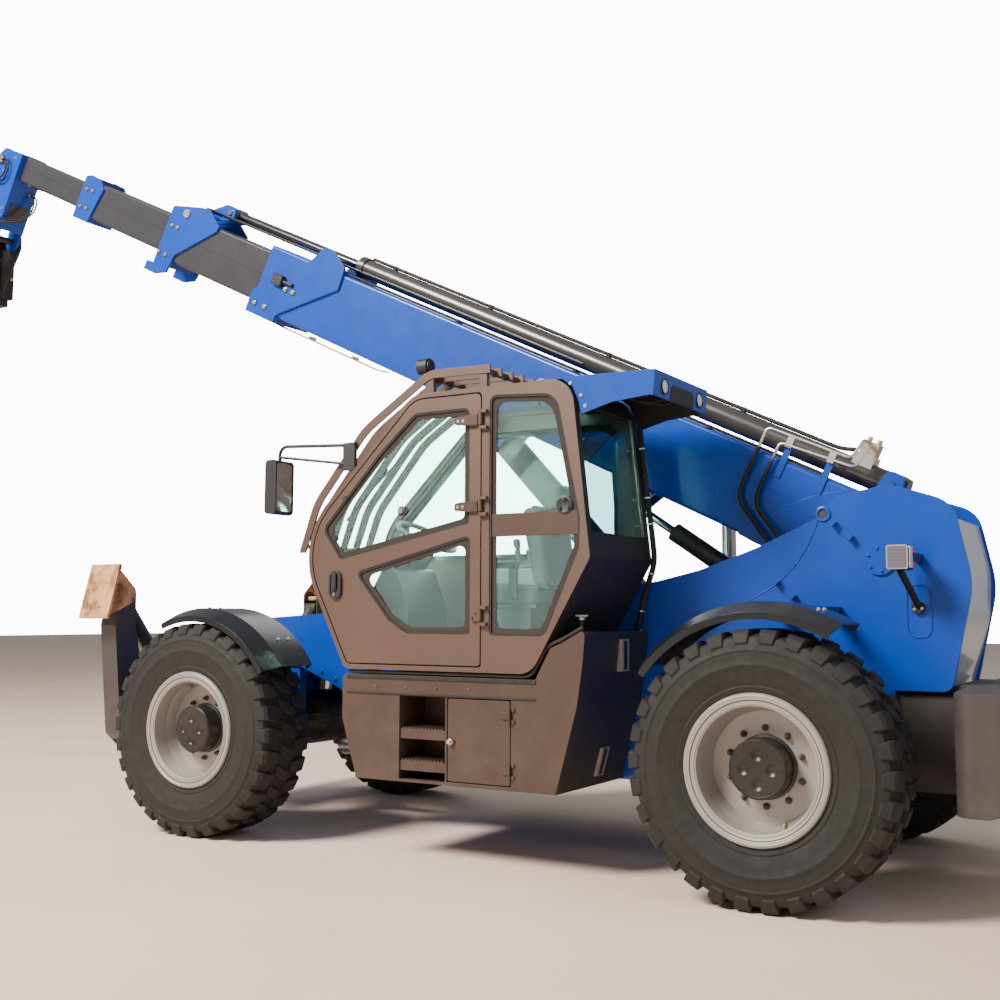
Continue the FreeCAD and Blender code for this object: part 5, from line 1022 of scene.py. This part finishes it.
wiring = Shape()
SLEEVE = [(1.006, 2.610), (0.987, 2.551), (0.957, 2.264), (0.914, 1.934), (0.891, 1.724), (0.930, 1.610),
          (0.962, 1.518), (1.006, 1.315)]
wiring.pipe([at(station, 0.436, height) for station, height in SLEEVE], 0.019, 0.12, 16, ribs=0.016)
wiring.piece("cab_wiring_sleeve", "chassis", HOSE, "interior_plastic")
cables = Shape()
for index, (side, drop) in enumerate(((0.95, 0.05), (0.82, 0.07), (0.68, 0.06))):
    cables.pipe([at(0.62, side, 2.660), at(0.70, side - 0.02, 2.66 - drop), at(0.82, side + 0.02, 2.640 - drop / 2),
                 at(0.90, side + 0.05, 2.655)], 0.007, 0.05, 8)
cables.piece("visor_cables", "chassis", HOSE, "interior_plastic")
clips = Shape()
for low, high, share in ((1, 2, 0.55), (2, 3, 0.5), (2, 3, 0.97), (4, 5, 0.6), (6, 7, 0.4)):
    start, end = (at(SLEEVE[k][0], 0.436, SLEEVE[k][1]) for k in (low, high))
    middle, way = start.lerp(end, share), (end - start).normalized()
    clips.rod(middle - way * 0.005, middle + way * 0.005, 0.0212, 20)
clips.box(at(1.000, 0.418, 1.318), (0.030, 0.020, 0.024), chamfer=0.003)
clips.bolt(at(0.990, 0.428, 1.318), LEFT, 0.008)
clips.piece("wiring_clips", "chassis", ZINC, "pipe_steel")
screws = Shape()
for station, height in ((1.050, 2.672), (0.985, 2.600), (0.960, 2.540)):
    screws.bolt(at(station, 1.1903, height), LEFT, 0.009)
screws.piece("visor_screws", "chassis", ZINC, "pipe_steel")

# Mirror face
face = Shape()
face.prism(rounded([(2.0475, 0)] * 0 + [(1.140, 2.050, .02), (1.280, 2.050, .02), (1.280, 2.350, .02),
                                       (1.140, 2.350, .02)]), 3.0655, 3.0675,
           lambda side, station, height: at(station, side, height))
face.piece("mirror_face", "chassis", MIRROR_FACE, "rod_chrome")

# ---------------------------------------------------------------- frame, fenders, rear

plates = Shape()
for sign in (1, -1):
    outward = LEFT * sign
    side = sign * 0.3802
    ring = Vector((0, 0, 0))
    for index in range(6):
        angle = math.radians(60 * index + 20)
        plates.bolt(at(PIVOT[0] + 0.062 * math.cos(angle), sign * 0.3944, PIVOT[1] + 0.062 * math.sin(angle)),
                    outward, 0.0075)
    for station, height in ((3.30, 0.97), (3.42, 1.02), (4.20, 0.62), (4.40, 0.62), (4.40, 0.80)):
        plates.bolt(at(station, side, height), outward, 0.014)
plates.piece("frame_bolts", "chassis", BLUE, "chassis_blue")

hooks = Shape()
for station, height in ((-0.201, 1.866), (0.122, 1.549)):
    turn = Matrix.Rotation(math.radians(-42), 3, "Y")
    along = turn @ AHEAD
    base = at(station, 0.3803, height)
    hooks.box(base + along * 0.060 + LEFT * 0.024, (0.005, 0.048, 0.036), turn, 0.0015)
    hooks.box(base - along * 0.060 + LEFT * 0.024, (0.005, 0.048, 0.036), turn, 0.0015)
    hooks.box(base + LEFT * 0.0027, (0.125, 0.005, 0.036), turn, 0.0015)
hooks.piece("hose_brackets", "chassis", BLUE, "chassis_blue")

tower = Shape()
SEAM = [(-0.060, 1.945), (-0.054, 1.921), (-0.031, 1.861), (0.019, 1.763), (0.085, 1.678), (0.175, 1.591),
        (0.267, 1.536), (0.360, 1.489)]
for sign in (1, -1):
    tower.pipe([at(station, sign * 0.3803, height) for station, height in SEAM], 0.0032, 0.04, 8)
    tower.lathe([(0, 0.026), (0, 0.044), (0.008, 0.042), (0.010, 0.038), (0.010, 0.028), (0.002, 0.026)],
                at(-0.088, sign * 0.3803, 1.969), LEFT * sign, 32)
tower.piece("tower_seams", "chassis", BLUE, "chassis_blue")
# Black discs in the bosses' holes: painted shade for the dark inside of the holes
hole_shades = Shape()
for sign in (1, -1):
    hole_shades.lathe([(0, 0), (0, 0.027), (0.003, 0.027), (0.003, 0)], at(-0.088, sign * 0.3803, 1.969), LEFT * sign, 28)
hole_shades.piece("tower_hole_painted_shade", "chassis", PLASTIC, "interior_plastic")

recess = Shape()
slot = rounded([(-0.645, 1.303, .05), (-0.526, 1.303, .05), (-0.526, 1.573, .05), (-0.645, 1.573, .05)])
recess.band(moved_in(slot, -0.005), slot, 0.3803, 0.3850)
recess.piece("frame_slot_rim", "chassis", BLUE, "chassis_blue")

fasteners = Shape()
for sign in (1, -1):
    for radius, station, angles in ((0.8085, 0.0, (50, 108)), (0.7735, WHEELBASE, (82, 134))):
        for degrees in angles:
            angle = math.radians(degrees)
            normal = Vector((math.cos(angle), 0, math.sin(angle)))
            for side in (0.95, 1.05):
                if radius > 0.8:
                    fasteners.bolt(at(station, sign * side, AXLE_HEIGHT) + normal * radius, normal, 0.010)
fasteners.piece("rear_fender_bolts", "chassis", ZINC, "pipe_steel")
for name, sign in (("left", 1), ("right", -1)):
    bolts = Shape()
    for degrees in (84, 132):
        angle = math.radians(degrees)
        normal = Vector((math.cos(angle), 0, math.sin(angle)))
        for side in (0.95, 1.05):
            bolts.bolt(at(WHEELBASE, sign * side, AXLE_HEIGHT) + normal * 0.7735, normal, 0.010)
    bolts.piece("front_fender_bolts_" + name, "knuckle_front_" + name, ZINC, "pipe_steel")

lenses = Shape()
reds = Shape()
for sign in (1, -1):
    middle = at(-0.6003, sign * 0.600, 1.712)
    for offset, shape in ((0.033, lenses), (-0.033, reds)):
        shape.box(middle + Vector((-0.004, sign * offset, 0)), (0.009, 0.058, 0.112), chamfer=0.003)
lenses.piece("tail_lamp_clear", "chassis", WHITE_LENS, "lamp_plastic")
rims = Shape()
sides_lens = Shape()
for sign in (1, -1):
    sides_lens.box(at(-0.545, sign * 0.6703, 1.712), (0.092, 0.009, 0.112), chamfer=0.003)
    outline = [(-0.599, 1.650, .012), (-0.491, 1.650, .012), (-0.491, 1.774, .012), (-0.599, 1.774, .012)]
    sides = (sign * 0.6653, sign * 0.6735)
    rims.band(rounded(outline), moved_in(rounded(outline), 0.0075), min(sides), max(sides))
sides_lens.piece("tail_lamp_side_lenses", "chassis", SILVER_LENS, "lamp_plastic")
rims.piece("tail_lamp_frames", "chassis", ZINC, "pipe_steel")
leads = Shape()
clamps = Shape()
for sign in (1, -1):
    leads.pipe([at(-0.542, sign * 0.600, 1.6485), at(-0.552, sign * 0.540, 1.600), at(-0.583, sign * 0.405, 1.472)],
               0.018, 0.04, 14)
    leads.rod(at(-0.583, sign * 0.3803, 1.458), at(-0.583, sign * 0.402, 1.458), 0.033, 24)
    clamps.bolts([at(-0.583 + dx, sign * 0.402, 1.458 + dz) for dx, dz in ((0.018, -0.010), (-0.020, -0.006),
                                                                         (0, 0.022))], LEFT * sign, 0.007)
clamps.piece("tail_lamp_clamp_bolts", "chassis", ZINC, "pipe_steel")
leads.piece("tail_lamp_leads", "chassis", HOSE, "interior_plastic")
reds.piece("tail_lamp_red", "chassis", RED_LENS, "lamp_plastic")

rear = Shape()
for sign in (1, -1):
    rear.pipe([at(-1.02, sign * 0.62, 1.0605), at(-1.02, sign * 0.62, 1.125), at(-1.13, sign * 0.62, 1.125),
               at(-1.13, sign * 0.62, 1.0605)], 0.014, 0.05)
    for side in (0.30, 0.16):
        rear.bolt(at(-1.4003, sign * side, 0.86), -AHEAD, 0.018)
        rear.bolt(at(-1.4003, sign * side, 0.74), -AHEAD, 0.018)
rear.box(at(-1.4125, 0, 0.80), (0.024, 0.42, 0.20), chamfer=0.004)
rear.piece("lifting_eyes_and_tow_plate", "chassis", BLACK, "axle_black")
tow = Shape()
for height in (0.845, 0.755):
    tow.box(at(-1.452, 0, height), (0.056, 0.11, 0.022), chamfer=0.006)
tow.rod(at(-1.456, 0, 0.885), at(-1.456, 0, 0.715), 0.014)
tow.piece("tow_jaw", "chassis", ZINC, "pipe_steel")
reflectors = Shape()
for sign in (1, -1):
    reflectors.lathe([(0, 0), (0, 0.040), (0.006, 0.038), (0.008, 0)], at(-1.335, sign * 0.70, 0.93),
                     Vector((-0.85, sign * 0.45, 0)), 28)
reflectors.piece("rear_reflectors", "chassis", RED_LENS, "lamp_plastic")

# ---------------------------------------------------------------- boom

for body, side, size, material, places in (
        ("boom", 0.2032, 0.014, ZINC, ((5.10, -0.17), (4.99, -0.17), (4.85, 0.015), (4.77, 0.015))),
        ("section_2", 0.1682, 0.012, ZINC, ((6.28, 0.115), (6.21, 0.115), (6.24, -0.125), (6.33, -0.125))),
        ("section_3", 0.1332, 0.012, ZINC, ((7.474, 0.107), (7.391, 0.110), (7.489, -0.053), (7.405, -0.048)))):
    heads = Shape()
    # Dark discs under the collar bolts: painted shade around the bolt heads
    bolt_shades = Shape()
    for sign in (1, -1):
        heads.bolts([on_boom(along, sign * (side + 0.002), above) for along, above in places], LEFT * sign, size)
        for along, above in places:
            bolt_shades.rod(on_boom(along, sign * side, above), on_boom(along, sign * (side + 0.0025), above), size * 1.9, 20,
                      0.0005)
    heads.piece(body + "_collar_bolts", body, material, "pipe_steel")
    bolt_shades.piece(body + "_bolt_painted_shade", body, PLASTIC, "interior_plastic")

pins = Shape()
for sign in (1, -1):
    spot = on_boom(6.157, sign * 0.1682, 0.246)
    pins.lathe([(0, 0.017), (0, 0.035), (0.012, 0.035), (0.016, 0.031), (0.016, 0.019), (0.010, 0.017), (0.010, 0)],
               spot, LEFT * sign, 28)
pins.piece("section_2_chain_pins", "section_2", ZINC, "rod_chrome")
pins = Shape()
for sign in (1, -1):
    pins.bolts([on_boom(along, sign * 0.1302, above) for along, above in ((8.66, -0.042), (8.56, 0.10), (8.52, -0.36))],
               LEFT * sign, 0.011)
pins.piece("head_bolts", "section_4", ZINC, "rod_chrome")

# Hoses of the head, both ends on it, with their unions
head_hoses = Shape()
unions = Shape()
for shift in (0.0, 0.032):
    head_hoses.pipe([on_boom(8.472, -0.085 + shift, -0.165), on_boom(8.405, -0.110 + shift, -0.185),
                     on_boom(8.352 + shift, -0.085, -0.300), on_boom(8.365 + shift, 0.030, -0.430),
                     on_boom(8.440 + shift, 0.150, -0.475 + shift), on_boom(8.520 + shift, 0.150, -0.480 + shift)],
                    0.0085, 0.09, 10)
    head_hoses.pipe([on_boom(8.720, 0.148, 0.060 - shift), on_boom(8.600 + shift, 0.160, 0.070 - shift),
                     on_boom(8.560 + shift, 0.165, -0.050), on_boom(8.610 + shift, 0.160, -0.150 + shift),
                     on_boom(8.700, 0.148, -0.160 + shift)], 0.0075, 0.07, 10)
    unions.rod(on_boom(8.4776, -0.085 + shift, -0.163), on_boom(8.452, -0.092 + shift, -0.170), 0.0125, 6)
    unions.rod(on_boom(8.500 + shift, 0.150, -0.480 + shift), on_boom(8.565 + shift, 0.150, -0.480 + shift), 0.0125, 6)
    unions.rod(on_boom(8.700, 0.148, 0.060 - shift), on_boom(8.735, 0.148, 0.060 - shift), 0.0115, 6)
    unions.rod(on_boom(8.685, 0.148, -0.160 + shift), on_boom(8.725, 0.148, -0.160 + shift), 0.0115, 6)
unions.box(on_boom(8.575, 0.146, -0.463), (0.05, 0.034, 0.09), Matrix.Rotation(-BOOM_ANGLE, 3, "Y"), 0.004)
unions.box(on_boom(8.735, 0.144, 0.045), (0.03, 0.030, 0.08), Matrix.Rotation(-BOOM_ANGLE, 3, "Y"), 0.004)
unions.box(on_boom(8.725, 0.144, -0.144), (0.03, 0.030, 0.08), Matrix.Rotation(-BOOM_ANGLE, 3, "Y"), 0.004)
head_hoses.piece("head_hoses", "section_4", HOSE, "interior_plastic")
unions.piece("head_unions", "section_4", BRASS, "pipe_steel")

block = Shape()
block.box(on_boom(4.935, 0.2230, 0.060), (0.100, 0.040, 0.085), Matrix.Rotation(-BOOM_ANGLE, 3, "Y"), 0.006)
block.rod(on_boom(4.885, 0.215, 0.060), on_boom(4.790, 0.212, 0.062), 0.014)
block.box(on_boom(4.850, 0.208, 0.060), (0.10, 0.012, 0.030), Matrix.Rotation(-BOOM_ANGLE, 3, "Y"), 0.002)
block.piece("boom_sensor", "boom", PLASTIC, "interior_plastic")

for body, reach, width, low, high, next_width in (
        ("boom", 5.145, 0.175, -0.20, 0.275, 0.152), ("section_2", 6.337, 0.141, -0.154, 0.230, 0.117),
        ("section_3", 7.532, 0.106, -0.111, 0.188, 0.082)):
    wear = Shape()
    for sign in (1, -1):
        for above in (low + 0.055, high - 0.055):
            middle = sign * (width + next_width) / 2
            wear.box(on_boom(reach - 0.004, middle, above), (0.022, width - next_width - 0.003, 0.06),
                     Matrix.Rotation(-BOOM_ANGLE, 3, "Y"), 0.002)
    wear.piece(body + "_wear_pads", body, PLASTIC, "interior_plastic")

patch = Shape()
for sign in (1, -1):
    sides = (sign * 0.1853, sign * 0.1895)
    patch.prism([(2.20, -0.20), (3.30, -0.20), (3.42, -0.10), (3.30, -0.02), (2.20, -0.02), (2.08, -0.10)], min(sides),
                max(sides), on_boom, 0.002)
patch.piece("boom_doubler_plates", "boom", BLUE, "chassis_blue")
creases = Shape()
for sign in (1, -1):
    sides = (sign * 0.1851, sign * 0.1863)
    creases.prism([(0.60, 0.082), (1.20, 0.120), (2.60, 0.121), (2.60, 0.127), (1.20, 0.126), (0.60, 0.088)],
                  min(sides), max(sides), on_boom)
    sides = (sign * 0.1851, sign * 0.1890)
    creases.prism([(0.10, -0.215), (0.743, -0.222), (0.852, -0.215), (0.898, -0.150), (0.857, -0.090), (0.625, 0.082),
                   (0.518, 0.180), (0.349, 0.285), (0.10, 0.285)], min(sides), max(sides), on_boom, 0.002)
creases.piece("boom_weld_seams", "boom", BLUE, "chassis_blue")

lines = Shape()
for offset in (0.135, 0.160):
    lines.pipe([on_boom(0.55, offset, 0.298), on_boom(2.6, offset, 0.298), on_boom(4.36, offset, 0.298)], 0.009, 0.1, 8)
for along in (1.3, 2.3, 3.3):
    lines.box(on_boom(along, 0.147, 0.296), (0.03, 0.06, 0.022), Matrix.Rotation(-BOOM_ANGLE, 3, "Y"), 0.003)
lines.pipe([on_boom(4.325, 0, 0.4685), on_boom(2.4, 0, 0.4685), on_boom(0.560, 0, 0.4685),
            on_boom(0.463, 0, 0.500)], 0.013, 0.05, 12)
for along in (1.2, 2.2, 3.2, 4.1):
    lines.box(on_boom(along, 0, 0.466), (0.030, 0.034, 0.034), Matrix.Rotation(-BOOM_ANGLE, 3, "Y"), 0.003)
lines.piece("boom_top_lines", "boom", HOSE, "interior_plastic")
under = Shape()
for offset in (0.05, 0.09):
    under.pipe([on_boom(5.02, offset, -0.2505), on_boom(4.90, offset, -0.262), on_boom(3.86, offset, -0.255),
                on_boom(3.78, offset, -0.237)], 0.0055, 0.05, 8)
for along in (4.55, 4.10):
    under.box(on_boom(along, 0.07, -0.245), (0.025, 0.07, 0.022), Matrix.Rotation(-BOOM_ANGLE, 3, "Y"), 0.002)
under.piece("boom_under_lines", "boom", ZINC, "pipe_steel")
chain = Shape()
chain.pipe([on_boom(6.010, 0.097, 0.347), on_boom(4.2, 0.097, 0.347), on_boom(2.3, 0.097, 0.347)], 0.0115, 0.1, 8,
           ribs=0.020)
chain.box(on_boom(6.020, 0.097, 0.300), (0.040, 0.030, 0.110), Matrix.Rotation(-BOOM_ANGLE, 3, "Y"), 0.004)
chain.piece("extension_chain", "section_2", DARK_ROD, "cylinder_grey")

# ---------------------------------------------------------------- cylinders, carriage, engine side

glands = Shape()
gland_foot = on_boom(4.400, 0, 0.385)
glands.lathe([(0, 0.037), (0, 0.062), (0.008, 0.066), (0.016, 0.062), (0.016, 0.037)], gland_foot, ALONG, 32)
glands.piece("extension_gland", "boom", ZINC, "pipe_steel")

cooling = Shape()
for index in range(14):
    cooling.box(at(2.7512, -0.78, 0.62 + index * 0.036), (0.006, 0.56, 0.014), Matrix.Rotation(0.5, 3, "Y"))
cooling.band(rounded([(-1.08, 0.58, .02), (-0.48, 0.58, .02), (-0.48, 1.13, .02), (-1.08, 1.13, .02)]),
             rounded([(-1.06, 0.60, .02), (-0.50, 0.60, .02), (-0.50, 1.11, .02), (-1.06, 1.11, .02)]), 2.7503, 2.760,
             lambda side, station, height: at(station, side, height))
cooling.piece("radiator_grille", "chassis", BLACK, "axle_black")
latches = Shape()
for station in (1.15, 2.45):
    latches.box(at(station, -1.1865, 1.215), (0.05, 0.012, 0.035), chamfer=0.004)
    latches.rod(at(station, -1.190, 1.215), at(station, -1.202, 1.215), 0.010)
latches.piece("hood_latches", "hood", PLASTIC, "interior_plastic")
caps = Shape()
caps.lathe([(0, 0), (0, 0.055), (0.02, 0.055), (0.03, 0.045), (0.03, 0)], at(2.05, -1.1803, 0.80), -LEFT, 28)
for index in range(5):
    caps.box(at(1.35 + index * 0.05, -1.1815, 0.70), (0.025, 0.004, 0.20), chamfer=0.001)
caps.piece("pod_cap_and_louvres", "chassis", PLASTIC, "interior_plastic")
flap = Shape()
flap.lathe([(0, 0.0485), (0, 0.052), (0.012, 0.054), (0.012, 0.0)], at(0.880, -0.760, 2.046), Vector((0.2, 0, 1)), 28)
flap.piece("exhaust_flap", "chassis", STEEL, "exhaust_steel")

drives = Shape()
for start, end in (((0.26, 0.64), (0.90, 0.56)), ((WHEELBASE - 0.26, 0.64), (WHEELBASE - 0.60, 0.60))):
    drives.rod(at(start[0], 0, start[1] - 0.16), at(end[0], 0, end[1] - 0.16), 0.035, 20)
    drives.rod(at(start[0] - 0.06, 0, start[1] - 0.158), at(start[0] + 0.02, 0, start[1] - 0.162), 0.065, 24)

grips = Shape()
for sign in (1, -1):
    for height in (-0.10, -0.30):
        grips.bolt(at(COUPLER_STATION + 0.155, sign * 0.235, 0) + UP * (PIVOT[1] + ALONG.z * COUPLER[0]
                                                                       + ABOVE.z * COUPLER[1] + height), -AHEAD, 0.014)
grips.piece("carriage_bolts", "carriage", ZINC, "pipe_steel")
drives.piece("drive_shafts", "chassis", STEEL, "exhaust_steel")

# ---------------------------------------------------------------- floor, light and camera

floor_mesh = bpy.data.meshes.new("floor")
floor_mesh.from_pydata([(-60, -60, 0), (60, -60, 0), (60, 60, 0), (-60, 60, 0)], [], [(0, 1, 2, 3)])
floor = bpy.data.objects.new("floor", floor_mesh)
bpy.context.scene.collection.objects.link(floor)
ground = Nodes("pale_floor")
floor_mesh.materials.append(ground.shade(ground.mix(ground.noise(0.8, 5), (0.78, 0.61, 0.50), (0.84, 0.67, 0.56)),
                                         0.8))
floor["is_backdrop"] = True

# The studio's walls are white where they are seen directly or through glass, and dimmer as a light
world = bpy.data.worlds.new("studio")
bpy.context.scene.world = world
world.use_nodes = True
tree = world.node_tree
dim = tree.nodes["Background"]
dim.inputs["Color"].default_value = (0.93, 0.96, 1.0, 1)
dim.inputs["Strength"].default_value = 0.36
white = tree.nodes.new("ShaderNodeBackground")
white.inputs["Color"].default_value = (1, 1, 1, 1)
white.inputs["Strength"].default_value = 12.0
rays = tree.nodes.new("ShaderNodeLightPath")
either = tree.nodes.new("ShaderNodeMath")
either.operation = "MAXIMUM"
tree.links.new(rays.outputs["Is Camera Ray"], either.inputs[0])
tree.links.new(rays.outputs["Is Transmission Ray"], either.inputs[1])
direct = tree.nodes.new("ShaderNodeMath")
direct.operation = "SUBTRACT"
direct.use_clamp = True
tree.links.new(either.outputs[0], direct.inputs[0])
tree.links.new(rays.outputs["Diffuse Depth"], direct.inputs[1])
walls = tree.nodes.new("ShaderNodeMixShader")
tree.links.new(direct.outputs[0], walls.inputs[0])
tree.links.new(dim.outputs[0], walls.inputs[1])
tree.links.new(white.outputs[0], walls.inputs[2])
tree.links.new(walls.outputs[0], tree.nodes["World Output"].inputs["Surface"])


def area_light(name, place, target, size, power, colour=(1, 1, 1)):
    data = bpy.data.lights.new(name, "AREA")
    data.shape, data.size, data.energy, data.color = "DISK", size, power, colour
    lamp = bpy.data.objects.new(name, data)
    bpy.context.scene.collection.objects.link(lamp)
    lamp.location = place
    lamp.rotation_mode = "QUATERNION"
    lamp.rotation_quaternion = (Vector(target) - Vector(place)).to_track_quat("-Z", "Y")


area_light("key", (4, 12, 13), (0, 0, 1), 6, 6600, (1, 0.95, 0.88))
area_light("fill", (-13, 5, 8), (-1, 0, 1.5), 8, 300, (0.95, 0.97, 1))
area_light("far", (4, -12, 10), (0, 0, 1.5), 9, 350)

CAMERA_PLACE = (-2.006, 6.993, 1.415)
CAMERA_YAW, CAMERA_PITCH, CAMERA_ROLL = 0.5431, 0.0937, 0.0035
camera_data = bpy.data.cameras.new("camera")
camera_data.sensor_width = 36
camera_data.lens = 43.73
camera_data.clip_end = 300
camera = bpy.data.objects.new("camera", camera_data)
bpy.context.scene.collection.objects.link(camera)
sight = Vector((math.sin(CAMERA_YAW) * math.cos(CAMERA_PITCH), -math.cos(CAMERA_YAW) * math.cos(CAMERA_PITCH),
                math.sin(CAMERA_PITCH)))
level_right = sight.cross(UP).normalized()
level_up = level_right.cross(sight)
right = level_right * math.cos(CAMERA_ROLL) + level_up * math.sin(CAMERA_ROLL)
upward = right.cross(sight)
camera.matrix_world = Matrix((
    (right.x, upward.x, -sight.x, CAMERA_PLACE[0] + SHIFT), (right.y, upward.y, -sight.y, CAMERA_PLACE[1]),
    (right.z, upward.z, -sight.z, CAMERA_PLACE[2]), (0, 0, 0, 1)))
bpy.context.scene.camera = camera

bpy.context.view_layer.update()
low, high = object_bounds()
